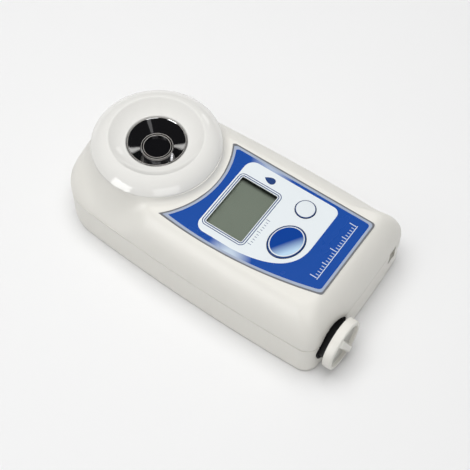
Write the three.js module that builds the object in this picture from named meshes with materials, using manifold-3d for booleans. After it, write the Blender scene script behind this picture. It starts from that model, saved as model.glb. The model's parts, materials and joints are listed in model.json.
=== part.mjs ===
// A digital pocket refractometer: a palm-sized moulded body with a round sample stage at its head,
// a display and two keys under a printed overlay, and a round twist cap over two slim cells.
// Millimetres, +Z up. The origin is on the table, under the middle of the moulded body. +Y runs
// to the sample stage, +X to the user's right, and the battery cap is in the wall at -Y.

import * as THREE from 'three';
import { mergeVertices } from 'three/addons/utils/BufferGeometryUtils.js';
import Module from 'manifold-3d';

const wasm = await Module();
wasm.setup();

// Fits shared by many pieces
const fit = 0.15; // radial play between two pieces that slide together
const seat = 0.05; // film between a piece and the face that it rests on
const overrun = 1.2; // how far a cutter runs past the face that it opens

// Moulded body, in plan and in height
const cellEndRoom = 13.9; // body length beyond the two cells in line
const bodyWidth = 54.8;
const partingHeight = 13.9;
const upperCaseHeight = 13.6;
const wall = 1.9;
const sideRadius = 680;
const headRadius = 60;
const capEndRadius = 400;
const headCornerRadius = 13.5;
const capCornerRadius = 7.5;
const widestFromCapEnd = 31;
const crownWidth = 7.5;
const crownPower = 1.55;
const baseEdgeRadius = 1.8;
const lowerDraft = 0.45;
const partingGroove = 0.3;
const sharpestCorner = 0.6;
const tongueHeight = 1.3;
const gasketThickness = 0.8;

// Sample stage
const stageFromHeadEnd = 25.1;
const drumRadius = 25;
const domeRadius = 20.4;
const domeEdgeRise = 2.1;
const crestRadius = 14.05;
const crestRise = 4;
const flankPower = 1.15;
const domeWall = 1.7;
const domeSeatDepth = 1.5;
const spigotInset = 3.1;
const spigotWall = 1.9;
const spigotLength = 2.1;
const dishRadius = 9.4;
const dishSink = 3.1;
const dishFlange = 1.4;
const dishRimWidth = 0.6;
const dishNeckRadius = 8.1;
const funnelRadius = 5.15;
const funnelDepth = 2.75;
const funnelPower = 1.25;
const prismWindowRadius = 4.05;
const prismRadius = 5.3;
const prismLip = 0.85;
const prismDisc = 1.6;
const prismDepth = 3.8;
const prismFootHalf = 2.2;
const prismWidth = 6.4;
const prismSealWidth = 0.9;
const dishDepth = 4.9;

// Optics under the stage
const blockWidth = 17;
const blockLength = 15;
const blockDepth = 6.4;
const blockEarWidth = 6;
const blockEarThickness = 2;
const blockEarDrop = 1.3;
const earPostRadius = 2.1;
const earPostRise = 0.3;
const armRadius = 4.4;
const emitterRadius = 1.5;
const emitterLength = 4;
const emitterReach = 3.2;
const emitterWall = 1;
const lensRadius = 3;
const lensThickness = 2;
const lensReach = 4.2;
const sensorReach = 11.2;
const sensorSize = 4;
const sensorThickness = 1.2;
const sensorBoardWidth = 9;
const sensorBoardThickness = 1;
const probeRadius = 0.9;
const probeLength = 4;
const earScrewRadius = 0.9;
const earScrewHeadRadius = 1.6;
const earScrewHead = 1.1;
const earScrewBite = 1.8;

// Overlay, display and keys
const overlayThickness = 0.25;
const overlayRight = 15.2;
const overlayLeft = 19.3;
const overlayFromCapEnd = 7.5;
const overlayArcRadius = 28;
const overlayArcCentre = 31.8;
const overlayBow = 22.2;
const overlayBowCentre = 16.5;
const overlayFoot = 14.9;
const overlayCorner = 1.3;
const windowLeft = 13.5;
const windowRight = 6.5;
const windowTop = 1.5;
const windowBottom = 14.8;
const windowCorner = 0.7;
const windowMargin = 1.4;
const windowThickness = 0.5;
const windowLip = 0.35;
const displayThickness = 0.9;
const displayMargin = 2.2;
const displayLedge = 2;
const connectorWidth = 1.6;
const startX = -5.5;
const startY = -25.6;
const startHalfLength = 6.3;
const startHalfWidth = 5.1;
const startTurn = -15 * THREE.MathUtils.DEG2RAD;
const zeroX = 7.35;
const zeroY = -23.9;
const zeroRadius = 3.15;
const keyRise = 0.55;
const keyEdge = 0.2;
const keyTravel = 0.5;
const keyFlange = 0.9;
const keyFlangeThickness = 0.8;
const keyStemRadius = 1.4;
const keyStemLength = 1;
const keyPlay = 0.2;

// Main board
const boardThickness = 1.6;
const boardFromSide = 8.9;
const boardFromStage = 18.9;
const boardFromCapEnd = 10;
const boardCorner = 2;
const boardPostRadius = 1.8;
const boardPinRadius = 0.8;
const boardPinInset = 3;
const switchWidth = 6;
const switchThickness = 1.9;
const plungerRadius = 1.3;
const plungerRise = 0.55;
const plungerDepth = 0.5;
const chipSize = 9;
const chipThickness = 1.2;
const chipFromSide = 19.4;
const chipFromCapEnd = 18;

// Cells, their tube and the twist cap
const cellFromSide = 11.2;
const cellZ = 9.9;
const cellRadius = 5.25;
const cellLength = 43.7;
const cellNubRadius = 1.9;
const cellNub = 0.8;
const cellEdge = 0.6;
const cellGap = 0.1;
const tubeBore = 5.5;
const tubeWall = 0.8;
const collarRadius = 8.3;
const collarLength = 7.5;
const capRadius = 8.6;
const capThickness = 2.2;
const capStandOff = 1;
const capCounterbore = 9.1;
const capCounterboreDepth = 0.7;
const capRim = 1.2;
const capPocketDepth = 1.35;
const capBarWidth = 2.4;
const capBarWaist = 1.5;
const capBarProud = 1.1;
const capBarTurn = 64 * THREE.MathUtils.DEG2RAD;
const capEdge = 0.45;
const neckRadius = 6.4;
const neckWall = 1;
const neckLength = 8.2;
const lugHeight = 0.65;
const lugLength = 1.6;
const lugAngle = 20 * THREE.MathUtils.DEG2RAD;
const lugStart = 160 * THREE.MathUtils.DEG2RAD;
const capTurn = 70 * THREE.MathUtils.DEG2RAD;
const lugPlay = 0.25;
const sealSection = 0.55;
const contactRadius = 4.4;
const contactThickness = 0.35;
const contactDome = 1.3;
const farWall = 0.9;
const ribThickness = 1.3;
const ribCount = 3;

// Case screws
const screwHeadRadius = 2.1;
const screwHead = 1.4;
const screwRadius = 1.1;
const screwBite = 5.5;
const screwRecess = 3;
const bossRadius = 3.1;
const screwBossGap = 0.3;
const screwFromCell = 12.8;
const screwFromCapEnd = 7.1;
const screwFromSide = 6.1;
const sideScrewFromCapEnd = 18.5;
const sideScrewFromStage = 20.4;
const headScrewX = 4;
const headScrewFromEnd = 6.3;

// Strap tunnel round the right-hand corner
const tunnelLeft = 14;
const tunnelMouth = 5;
const tunnelPillar = 2.1;
const tunnelWidth = 5;
const tunnelHeight = 5.4;
const tunnelRoof = 1;
const tunnelWall = 1.5;

// Counts of facets and steps
const weldShare = 1000;
const cornerSteps = 4;
const sideSteps = 4;
const endSteps = 3;
const crownSteps = 4;
const roomSteps = 3;
const baseSteps = 3;
const lugSteps = 6;
const overlaySteps = 8;
const plateSteps = 3;
const roundSteps = 32;
const smallSteps = 18;
const tinySteps = 10;
const keySteps = 24;

// Values worked out from the sizes above
const bodyLength = 2 * (cellLength + cellNub) + cellGap + cellEndRoom;
const headEnd = bodyLength / 2;
const capEnd = -bodyLength / 2;
const halfWidth = bodyWidth / 2;
const widestY = capEnd + widestFromCapEnd;
const stageY = headEnd - stageFromHeadEnd;
const deckHeight = partingHeight + upperCaseHeight;
const domeEdgeHeight = deckHeight + domeEdgeRise;
const crestHeight = domeEdgeHeight + crestRise;
const dishHeight = crestHeight - dishSink;
const funnelHeight = dishHeight - funnelDepth;
const prismTopHeight = funnelHeight - prismLip;
const lowerTop = partingHeight - partingGroove / 2;
const upperBottom = partingHeight + partingGroove / 2;
const innerDeck = deckHeight - wall;
const tongueOuter = wall / 2 + fit;
const tongueTop = lowerTop + tongueHeight;
const rebateTop = tongueTop + gasketThickness + seat + seat;
const overlayBase = deckHeight - overlayThickness;
const keyFlangeTop = innerDeck - seat;
const keyFlangeBase = keyFlangeTop - keyFlangeThickness;
const plungerTop = keyFlangeBase - keyStemLength - seat;
const switchTop = plungerTop - plungerRise;
const switchBase = switchTop - switchThickness;
const boardUpper = switchBase - seat;
const boardHeight = boardUpper - boardThickness;
const boardHalfWidth = halfWidth - boardFromSide;
const boardTop = stageY - boardFromStage;
const boardBottom = capEnd + boardFromCapEnd;
const overlayBottom = capEnd + overlayFromCapEnd;
const cellX = cellFromSide - halfWidth;
const headPlateTop = domeEdgeHeight - domeSeatDepth;
const earTop = innerDeck - blockEarDrop;
const earBase = earTop - blockEarThickness;
const spigotRadius = domeRadius - spigotInset;
const earScrewX = spigotRadius + fit + earScrewRadius + seat;
const blockEarHalf = earScrewX + earScrewHeadRadius;
const chipX = halfWidth - chipFromSide;
const chipY = capEnd + chipFromCapEnd;
const screwPlaces = [
  [cellX + screwFromCell, capEnd + screwFromCapEnd],
  [halfWidth - screwFromSide, capEnd + sideScrewFromCapEnd],
  [halfWidth - screwFromSide, stageY - sideScrewFromStage],
  [headScrewX, headEnd - headScrewFromEnd],
];

// Solids from closed geometries
function solidOf(geometry) {
  const bare = geometry.clone();
  for (const name of Object.keys(bare.attributes)) {
    if (name !== 'position') bare.deleteAttribute(name);
  }
  const joined = mergeVertices(bare, seat / weldShare);
  const mesh = new wasm.Mesh({
    numProp: 3,
    vertProperties: new Float32Array(joined.attributes.position.array),
    triVerts: new Uint32Array(joined.index.array),
  });
  mesh.merge();
  return new wasm.Manifold(mesh);
}

function geometryOf(solid) {
  const mesh = solid.getMesh();
  const geometry = new THREE.BufferGeometry();
  geometry.setAttribute('position', new THREE.BufferAttribute(new Float32Array(mesh.vertProperties), 3));
  geometry.setIndex(new THREE.BufferAttribute(new Uint32Array(mesh.triVerts), 1));
  return geometry;
}

function join(solids) {
  return solids.reduce((whole, next) => whole.add(next));
}

function cut(solid, cutters) {
  return cutters.reduce((rest, cutter) => rest.subtract(cutter), solid);
}

// A turned solid about the upright axis, from radius and height pairs that end on the axis or close
function turned(profile, steps) {
  const points = profile.map(([radius, height]) => new THREE.Vector2(radius, height));
  const geometry = new THREE.LatheGeometry(points, steps);
  geometry.rotateX(Math.PI / 2);
  return solidOf(geometry);
}

function closed(profile) {
  return [...profile, profile[0]];
}

// A cylinder from one height to another
function post(x, y, low, high, radius, steps = smallSteps) {
  const solid = turned([[0, low], [radius, low], [radius, high], [0, high]], steps);
  return solid.translate([x, y, 0]);
}

// A straight-sided solid over a plan shape
function plate(shape, low, high, curveSteps = plateSteps) {
  const settings = { depth: high - low, bevelEnabled: false, curveSegments: curveSteps };
  const geometry = new THREE.ExtrudeGeometry(shape, settings);
  geometry.translate(0, 0, low);
  return solidOf(geometry);
}

function block(lowX, highX, lowY, highY, low, high) {
  const geometry = new THREE.BoxGeometry(highX - lowX, highY - lowY, high - low);
  geometry.translate((lowX + highX) / 2, (lowY + highY) / 2, (low + high) / 2);
  return solidOf(geometry);
}

function roundedShape(left, right, bottom, top, radius) {
  const shape = new THREE.Shape();
  shape.moveTo(left + radius, bottom);
  shape.lineTo(right - radius, bottom);
  shape.absarc(right - radius, bottom + radius, radius, -Math.PI / 2, 0);
  shape.lineTo(right, top - radius);
  shape.absarc(right - radius, top - radius, radius, 0, Math.PI / 2);
  shape.lineTo(left + radius, top);
  shape.absarc(left + radius, top - radius, radius, Math.PI / 2, Math.PI);
  shape.lineTo(left, bottom + radius);
  shape.absarc(left + radius, bottom + radius, radius, Math.PI, Math.PI * 1.5);
  return shape;
}

// Puts a solid turned about the upright axis onto the cells' axis, its foot at a place along Y
function alongCells(solid, y) {
  return solid.rotate([-90, 0, 0]).translate([cellX, y, cellZ]);
}

// The centre of a corner arc that touches two larger arcs from inside, on the side of a given point
function cornerCentre(first, firstRadius, second, secondRadius, radius, near) {
  const a = firstRadius - radius;
  const b = secondRadius - radius;
  const between = second.clone().sub(first);
  const distance = between.length();
  const along = (a * a - b * b + distance * distance) / (2 * distance);
  const across = Math.sqrt(Math.max(a * a - along * along, 0));
  const step = between.divideScalar(distance);
  const foot = first.clone().addScaledVector(step, along);
  const sideways = new THREE.Vector2(-step.y, step.x);
  const one = foot.clone().addScaledVector(sideways, across);
  const other = foot.clone().addScaledVector(sideways, -across);
  return one.distanceTo(near) < other.distanceTo(near) ? one : other;
}

// The plan outline: two bowed sides, a round head, a nearly straight cap end and four corner arcs
function planOutline(inset) {
  const side = new THREE.Vector2(halfWidth - sideRadius, widestY);
  const head = new THREE.Vector2(0, headEnd - headRadius);
  const foot = new THREE.Vector2(0, capEnd + capEndRadius);
  const headMost = new THREE.Vector2(halfWidth, headEnd);
  const footMost = new THREE.Vector2(halfWidth, capEnd);
  const sideArc = sideRadius - inset;
  const headArc = headRadius - inset;
  const footArc = capEndRadius - inset;
  const headCorner = Math.max(headCornerRadius - inset, sharpestCorner);
  const footCorner = Math.max(capCornerRadius - inset, sharpestCorner);
  const headCentre = cornerCentre(side, sideArc, head, headArc, headCorner, headMost);
  const footCentre = cornerCentre(side, sideArc, foot, footArc, footCorner, footMost);
  const angleOf = (from, to) => Math.atan2(to.y - from.y, to.x - from.x);
  const half = [];
  const sweep = (centre, radius, start, end, steps) => {
    for (let i = 0; i < steps; i += 1) {
      const angle = start + (end - start) * i / steps;
      half.push(new THREE.Vector2(centre.x + radius * Math.cos(angle), centre.y + radius * Math.sin(angle)));
    }
  };
  const footAngle = angleOf(foot, footCentre);
  const lowSide = angleOf(side, footCentre);
  const highSide = angleOf(side, headCentre);
  const headAngle = angleOf(head, headCentre);
  sweep(foot, footArc, -Math.PI / 2, footAngle, endSteps);
  sweep(footCentre, footCorner, footAngle, lowSide, cornerSteps);
  sweep(side, sideArc, lowSide, highSide, sideSteps);
  sweep(headCentre, headCorner, highSide, headAngle, cornerSteps);
  sweep(head, headArc, headAngle, Math.PI / 2, endSteps);
  const crest = new THREE.Vector2(0, headEnd - inset);
  const mirrored = half.slice(1).reverse().map((point) => new THREE.Vector2(-point.x, point.y));
  return [...half, crest, ...mirrored];
}

// A solid through a stack of plan outlines, each with its own height
function loft(layers) {
  const rings = layers.map(([inset, height]) => {
    return planOutline(inset).map((point) => [point.x, point.y, height]);
  });
  const count = rings[0].length;
  const positions = rings.flat(2);
  const index = [];
  for (let layer = 0; layer + 1 < rings.length; layer += 1) {
    for (let i = 0; i < count; i += 1) {
      const a = layer * count + i;
      const b = layer * count + (i + 1) % count;
      index.push(a, b, b + count, a, b + count, a + count);
    }
  }
  const low = positions.length / 3;
  const high = low + 1;
  positions.push(0, 0, layers[0][1], 0, 0, layers[layers.length - 1][1]);
  const last = (rings.length - 1) * count;
  for (let i = 0; i < count; i += 1) {
    const next = (i + 1) % count;
    index.push(low, next, i, high, last + i, last + next);
  }
  const geometry = new THREE.BufferGeometry();
  geometry.setAttribute('position', new THREE.Float32BufferAttribute(positions, 3));
  geometry.setIndex(index);
  return solidOf(geometry);
}

// The crowned upper form: upright at the parting line, then rolling over to the flat deck
function crownLayers(offset, bottom, top, steps) {
  const layers = [];
  for (let i = 0; i <= steps; i += 1) {
    const angle = Math.PI / 2 * i / steps;
    const drop = 1 - Math.cos(angle) ** (2 / crownPower);
    const rise = Math.sin(angle) ** (2 / crownPower);
    layers.push([offset + crownWidth * drop, bottom + (top - bottom) * rise]);
  }
  return layers;
}

// The drum that carries the stage: a quarter ellipse turned about the stage's axis
function drum(offset, bottom, top, steps) {
  const profile = [[0, bottom]];
  for (let i = 0; i <= steps; i += 1) {
    const angle = Math.PI / 2 * i / steps;
    const radius = domeRadius + (drumRadius - domeRadius) * Math.cos(angle) - offset;
    profile.push([radius, bottom + (top - bottom) * Math.sin(angle)]);
  }
  profile.push([0, top]);
  return turned(profile, roundSteps).translate([0, stageY, 0]);
}

// The lower form: a rounded base edge, then a slight draft out to the parting line
function trayLayers(offset, bottom, top) {
  const layers = [];
  const radius = Math.max(baseEdgeRadius - offset, sharpestCorner);
  for (let i = 0; i <= baseSteps; i += 1) {
    const angle = Math.PI / 2 * i / baseSteps;
    const out = lowerDraft + offset + radius * (1 - Math.sin(angle));
    layers.push([out, bottom + radius * (1 - Math.cos(angle))]);
  }
  layers.push([offset, top]);
  return layers;
}

const upperSkin = loft(crownLayers(0, upperBottom, deckHeight, crownSteps))
  .add(drum(0, upperBottom, domeEdgeHeight, crownSteps));
const roomLayers = crownLayers(wall, upperBottom, innerDeck, roomSteps);
const upperRoom = loft([[wall, upperBottom - overrun], ...roomLayers])
  .add(drum(wall, upperBottom, innerDeck, roomSteps));
const lowerSkin = loft(trayLayers(0, 0, lowerTop));
const lowerRoom = loft([...trayLayers(wall, wall, lowerTop), [wall, lowerTop + overrun]]);

const group = new THREE.Group();

function addPiece(name, solid, colour, roughness, metalness) {
  const material = new THREE.MeshStandardMaterial({ color: colour, roughness, metalness });
  const mesh = new THREE.Mesh(geometryOf(solid), material);
  mesh.name = name;
  group.add(mesh);
}

const shellWhite = 0xece9e2;
const glossWhite = 0xf1efea;
const steel = 0xc9ccce;
const black = 0x17181a;
const boardGreen = 0x1d5a3a;
const gold = 0xc9a45a;
const grey = 0x8c9092;

// Cutter and posts for the case screws
const lowerBossTop = partingHeight - screwBossGap / 2;
const upperBossBottom = partingHeight + screwBossGap / 2;
const screwTip = upperBossBottom + screwBite;

function lowerBosses() {
  return screwPlaces.map(([x, y]) => post(x, y, wall / 2, lowerBossTop, bossRadius, tinySteps));
}

function upperBosses() {
  const top = innerDeck + wall / 2;
  return screwPlaces.map(([x, y]) => post(x, y, upperBossBottom, top, bossRadius, tinySteps));
}

// Main board posts, standing down from the deck
const boardPins = [
  [boardHalfWidth - boardPinInset, boardTop - boardPinInset],
  [boardPinInset - boardHalfWidth, boardTop - boardPinInset],
  [boardHalfWidth - boardPinInset, boardPinInset + boardBottom],
  [boardPinInset - boardHalfWidth, boardPinInset + boardBottom],
];

function boardPosts() {
  const shanks = boardPins.map(([x, y]) => {
    return post(x, y, boardUpper + seat, innerDeck + wall / 2, boardPostRadius, tinySteps);
  });
  const pins = boardPins.map(([x, y]) => {
    return post(x, y, boardHeight - seat, boardUpper + wall, boardPinRadius, tinySteps);
  });
  return [...shanks, ...pins];
}

// Openings of the deck: display, keys and overlay recess
const displayTop = deckHeight - overlayThickness - windowThickness - windowLip - seat - seat - seat;
const windowTopZ = overlayBase - seat;
const windowBase = windowTopZ - windowThickness;
const lipBase = windowBase - seat - windowLip;

function overlayShape(inset) {
  const right = overlayRight - inset;
  const bottom = inset + overlayBottom;
  const arc = overlayArcRadius + inset;
  const corner = overlayCorner;
  const leftTop = inset - overlayLeft;
  const startAngle = -Math.acos((right - corner / 2) / arc);
  const endAngle = -Math.acos(leftTop / arc);
  const shape = new THREE.Shape();
  const startPoint = [arc * Math.cos(startAngle), overlayArcCentre + arc * Math.sin(startAngle)];
  shape.moveTo(startPoint[0], startPoint[1]);
  shape.absarc(0, overlayArcCentre, arc, startAngle, endAngle, true);
  shape.quadraticCurveTo(inset - overlayBow, -overlayBowCentre, inset - overlayFoot, bottom + corner);
  shape.quadraticCurveTo(inset - overlayFoot + corner / 3, bottom, corner - overlayFoot, bottom);
  shape.lineTo(right - corner, bottom);
  shape.quadraticCurveTo(right, bottom, right, bottom + corner);
  shape.lineTo(right, startPoint[1] - corner);
  return shape;
}

function windowShape(margin) {
  const left = -windowLeft - margin;
  const right = windowRight + margin;
  return roundedShape(left, right, -windowBottom - margin, -windowTop + margin, windowCorner);
}

function startKey(low, high, grow) {
  const shape = new THREE.Shape();
  const halfLength = startHalfLength + grow;
  const halfThickness = startHalfWidth + grow;
  shape.absellipse(startX, startY, halfLength, halfThickness, 0, Math.PI * 2, false, startTurn);
  return plate(shape, low, high, keySteps);
}

function zeroKey(low, high, grow) {
  return post(zeroX, zeroY, low, high, zeroRadius + grow, keySteps);
}

// Battery well: counterbore and neck hole through the end wall
const counterboreFloor = capEnd + capCounterboreDepth;
const neckHole = neckRadius + fit;

function endWallCutters() {
  const bore = alongCells(post(0, 0, -overrun, capCounterboreDepth, capCounterbore, roundSteps), capEnd);
  const hole = alongCells(post(0, 0, 0, neckLength, neckHole, keySteps), capBack);
  return [bore, hole, ...lugExits(capStandOff), ...lugWays()];
}

// A sector round the cap's axis: a lug, or the way that it moves through
function lugShape(angle, spread, play) {
  const inner = neckRadius - neckWall / 2;
  const outer = neckRadius + lugHeight + play;
  const half = (lugAngle + spread) / 2 + play / neckRadius;
  const shape = new THREE.Shape();
  shape.absarc(0, 0, outer, angle - half, angle + half);
  shape.lineTo(inner * Math.cos(angle + half), inner * Math.sin(angle + half));
  shape.lineTo(inner * Math.cos(angle - half), inner * Math.sin(angle - half));
  return shape;
}

const lugFar = neckLength - lugPlay - lugPlay;
const lugNear = lugFar - lugLength;
const capBack = capEnd - capStandOff;

function bothLugs(angle, spread, low, high, play) {
  return [0, Math.PI].map((side) => {
    const sector = plate(lugShape(angle + side, spread, play), low - play, high + play, lugSteps);
    return alongCells(sector, capBack);
  });
}

// Straight ways that let the lugs out once the cap is turned
function lugExits(low) {
  return bothLugs(lugStart - capTurn, 0, low, lugFar, lugPlay);
}

// Ways that the lugs turn in, from the locked place to the exits
function lugWays() {
  return bothLugs(lugStart - capTurn / 2, capTurn, lugNear, lugFar, lugPlay);
}

// Upper case
function buildUpperCase() {
  const rebate = loft([[-overrun, upperBottom - overrun], [-overrun, upperBottom]])
    .add(loft([[wall / 2, upperBottom - overrun], [wall / 2, rebateTop]]));
  const bosses = [...upperBosses(), ...boardPosts()].map((solid) => solid.intersect(upperSkin));
  const cutters = [
    rebate,
    post(0, stageY, headPlateTop, domeEdgeHeight + overrun, domeRadius + fit, roundSteps),
    post(0, stageY, innerDeck - overrun, domeEdgeHeight, spigotRadius + fit, roundSteps),
    plate(overlayShape(-fit), overlayBase - seat, deckHeight + overrun, overlaySteps),
    plate(windowShape(windowMargin + fit), windowBase - seat, deckHeight, plateSteps),
    plate(windowShape(0), innerDeck - overrun, deckHeight, plateSteps),
    displayPocket(),
    startKey(innerDeck - overrun, deckHeight, keyPlay),
    zeroKey(innerDeck - overrun, deckHeight, keyPlay),
    ...endWallCutters(),
    ...screwPlaces.map(([x, y]) => post(x, y, upperBottom - overrun, screwTip, screwRadius, tinySteps)),
  ];
  const holes = [1, -1].map((side) => earScrewHole(side));
  return cut(cut(upperSkin.subtract(upperRoom).add(join(bosses)), cutters).add(earPosts()), holes);
}

function earPosts() {
  return join([1, -1].map((side) => {
    return post(side * earScrewX, stageY, earTop + seat, innerDeck + earPostRise, earPostRadius, tinySteps);
  })).intersect(upperSkin);
}

function displayPocket() {
  const grow = displayMargin + fit;
  const left = -windowLeft - grow;
  const right = windowRight + grow;
  const bottom = -windowBottom - grow - displayLedge;
  return block(left, right, bottom, grow - windowTop, innerDeck - overrun, lipBase);
}

function earScrewHole(side) {
  return post(side * earScrewX, stageY, earTop, innerDeck + earScrewBite, earScrewRadius, tinySteps);
}

// Lower case with its tongue, bosses, cell cradles and strap tunnel
const tunnelBottom = lowerTop - tunnelRoof - tunnelHeight;
const tunnelTop = lowerTop - tunnelRoof;
const tunnelBack = capEnd + tunnelPillar + tunnelWidth;

function tunnelCutters() {
  const mouthRight = tunnelLeft + tunnelMouth;
  return [
    block(tunnelLeft, mouthRight, capEnd - overrun, tunnelBack, tunnelBottom, tunnelTop),
    block(tunnelLeft, halfWidth + overrun, capEnd + tunnelPillar, tunnelBack, tunnelBottom, tunnelTop),
  ];
}

function tunnelHousing() {
  const left = tunnelLeft - tunnelWall;
  const back = tunnelBack + tunnelWall;
  return block(left, halfWidth, capEnd, back, tunnelBottom - tunnelWall, lowerTop).intersect(lowerSkin);
}

function cradles() {
  const first = capEnd + wall + collarLength + ribThickness;
  const last = headEnd - headCornerRadius - ribThickness;
  const ribs = [];
  for (let i = 0; i < ribCount; i += 1) {
    const y = first + (last - first) * i / (ribCount - 1);
    const right = cellX + tubeBore + tubeWall + ribThickness;
    ribs.push(block(-halfWidth, right, y, y + ribThickness, wall / 2, cellZ));
  }
  const sleeve = post(0, 0, 0, bodyLength, tubeBore + tubeWall + fit, smallSteps);
  return join(ribs).intersect(lowerSkin).subtract(alongCells(sleeve, capEnd));
}

function buildLowerCase() {
  const tongue = loft([[tongueOuter, lowerTop - wall], [tongueOuter, tongueTop]])
    .subtract(loft([[wall, lowerTop - wall - overrun], [wall, tongueTop + overrun]]));
  const screwCutters = screwPlaces.flatMap(([x, y]) => [
    post(x, y, -overrun, screwRecess, screwHeadRadius + fit + fit, smallSteps),
    post(x, y, 0, lowerTop + overrun, screwRadius + fit, tinySteps),
  ]);
  const bosses = lowerBosses().map((solid) => solid.intersect(lowerSkin));
  const wide = screwPlaces.map(([x, y]) => {
    return post(x, y, wall / 2, screwRecess + wall, bossRadius + wall / 2, tinySteps).intersect(lowerSkin);
  });
  const body = join([lowerSkin.subtract(lowerRoom), tongue, ...bosses, ...wide, cradles(), tunnelHousing()]);
  return cut(body, [...screwCutters, ...tunnelCutters(), ...endWallCutters()]);
}

function buildGasket() {
  const bottom = tongueTop + seat;
  const top = rebateTop - seat;
  const outer = loft([[tongueOuter, bottom], [tongueOuter, top]]);
  const ring = outer.subtract(loft([[wall - seat, bottom - overrun], [wall - seat, top + overrun]]));
  return cut(ring, endWallCutters());
}

addPiece('upper_case', buildUpperCase(), shellWhite, 0.55, 0);
addPiece('lower_case', buildLowerCase(), shellWhite, 0.6, 0);
addPiece('case_gasket', buildGasket(), grey, 0.9, 0);

function caseScrew(x, y) {
  const headBase = screwRecess - screwHead - seat;
  const headTop = screwRecess - seat;
  const profile = [
    [0, headBase],
    [screwHeadRadius - screwHead / 3, headBase],
    [screwHeadRadius, headBase + screwHead / 3],
    [screwHeadRadius, headTop],
    [screwRadius - fit, headTop],
    [screwRadius - fit, screwTip - screwRadius],
    [0, screwTip - seat],
  ];
  return turned(profile, tinySteps).translate([x, y, 0]);
}

screwPlaces.forEach(([x, y], i) => {
  addPiece(`case_screw_${i + 1}`, caseScrew(x, y), steel, 0.35, 1);
});

// Stage dome: glossy flank, rounded crest and a dished inner slope down to the sample dish
function stageProfile() {
  const edge = domeEdgeHeight;
  const bore = dishRadius + fit;
  const boreTop = dishHeight + seat;
  const outer = [];
  for (let i = 0; i <= crownSteps; i += 1) {
    const angle = Math.PI / 2 * i / crownSteps;
    outer.push([
      crestRadius + (domeRadius - crestRadius) * Math.cos(angle),
      edge + (crestHeight - edge) * Math.sin(angle) ** flankPower,
    ]);
  }
  for (let i = 1; i <= crownSteps; i += 1) {
    const share = i / crownSteps;
    const swell = share ** 2 * (3 - 2 * share);
    outer.push([
      crestRadius + (bore - crestRadius) * share,
      crestHeight + (boreTop - crestHeight) * (share + swell) / 2,
    ]);
  }
  return outer;
}

function buildDome() {
  const bore = dishRadius + fit;
  const flangeSeat = dishHeight - dishFlange - seat;
  const foot = headPlateTop + seat;
  const spigotFoot = foot - spigotLength;
  const innerRadius = spigotRadius - spigotWall;
  const neck = dishNeckRadius + fit;
  const profile = closed([
    [domeRadius, foot],
    ...stageProfile(),
    [bore, flangeSeat],
    [neck, flangeSeat],
    [neck, flangeSeat - domeWall],
    [neck + domeWall, flangeSeat - domeWall],
    [crestRadius - domeWall, crestHeight - domeWall * 2],
    [innerRadius, domeEdgeHeight],
    [innerRadius, spigotFoot],
    [spigotRadius, spigotFoot],
    [spigotRadius, foot],
  ]);
  return turned(profile, roundSteps).translate([0, stageY, 0]);
}

// Sample dish: a polished funnel with a lip that holds the prism from above
function buildDish() {
  const flangeBase = dishHeight - dishFlange;
  const foot = dishHeight - dishDepth;
  const sealRadius = prismRadius + prismSealWidth + fit;
  const lipBottom = prismTopHeight + seat;
  const rim = dishRadius - dishRimWidth;
  const funnel = [];
  for (let i = 0; i <= crownSteps; i += 1) {
    const share = i / crownSteps;
    const bend = share ** funnelPower;
    funnel.push([rim + (funnelRadius - rim) * share, dishHeight + (funnelHeight - dishHeight) * bend]);
  }
  const profile = closed([
    [dishNeckRadius, foot],
    [dishNeckRadius, flangeBase],
    [dishRadius, flangeBase],
    [dishRadius, dishHeight - dishRimWidth / 3],
    [dishRadius - dishRimWidth / 3, dishHeight],
    ...funnel,
    [prismWindowRadius + dishRimWidth / 2, funnelHeight],
    [prismWindowRadius, funnelHeight - dishRimWidth / 2],
    [prismWindowRadius, lipBottom],
    [sealRadius, lipBottom],
    [sealRadius, foot],
  ]);
  return turned(profile, roundSteps).translate([0, stageY, 0]);
}

function buildPrism() {
  const discBase = prismTopHeight - prismDisc;
  const disc = post(0, 0, discBase, prismTopHeight, prismRadius);
  const half = prismRadius - fit;
  const shape = new THREE.Shape();
  shape.moveTo(-half, 0);
  shape.lineTo(-prismFootHalf, -prismDepth);
  shape.lineTo(prismFootHalf, -prismDepth);
  shape.lineTo(half, 0);
  shape.lineTo(half, prismDisc / 2);
  shape.lineTo(-half, prismDisc / 2);
  const wedge = plate(shape, -prismWidth / 2, prismWidth / 2).rotate([90, 0, 0]).translate([0, 0, discBase]);
  const round = post(0, 0, discBase - prismDepth, prismTopHeight, prismRadius);
  return disc.add(wedge.intersect(round)).translate([0, stageY, 0]);
}

function buildPrismSeal() {
  const inner = prismRadius + seat;
  const outer = prismRadius + prismSealWidth;
  const top = prismTopHeight;
  const base = prismTopHeight - prismDisc;
  const soft = prismSealWidth / 4;
  const profile = closed([
    [inner, base + soft], [inner + soft, base], [outer - soft, base], [outer, base + soft],
    [outer, top - soft], [outer - soft, top], [inner + soft, top], [inner, top - soft],
  ]);
  return turned(profile, smallSteps).translate([0, stageY, 0]);
}

// Optical block: light comes down the left bore, and leaves through the lens on the right
const blockTop = prismTopHeight - prismDisc - seat;
const faceMiddle = (prismRadius - fit + prismFootHalf) / 2;
const faceHeight = blockTop + seat - prismDepth / 2;
const faceTilt = Math.atan2(prismDepth, prismRadius - fit - prismFootHalf);

// Places a solid made along +Z on the axis that leaves the prism's slanted face on one side
function alongRay(solid, side, distance) {
  const tilt = THREE.MathUtils.RAD2DEG * (Math.PI - faceTilt);
  const turn = side * tilt;
  const x = side * (faceMiddle + distance * Math.sin(faceTilt));
  const z = faceHeight - distance * Math.cos(faceTilt);
  return solid.rotate([0, turn, 0]).translate([x, stageY, z]);
}

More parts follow.
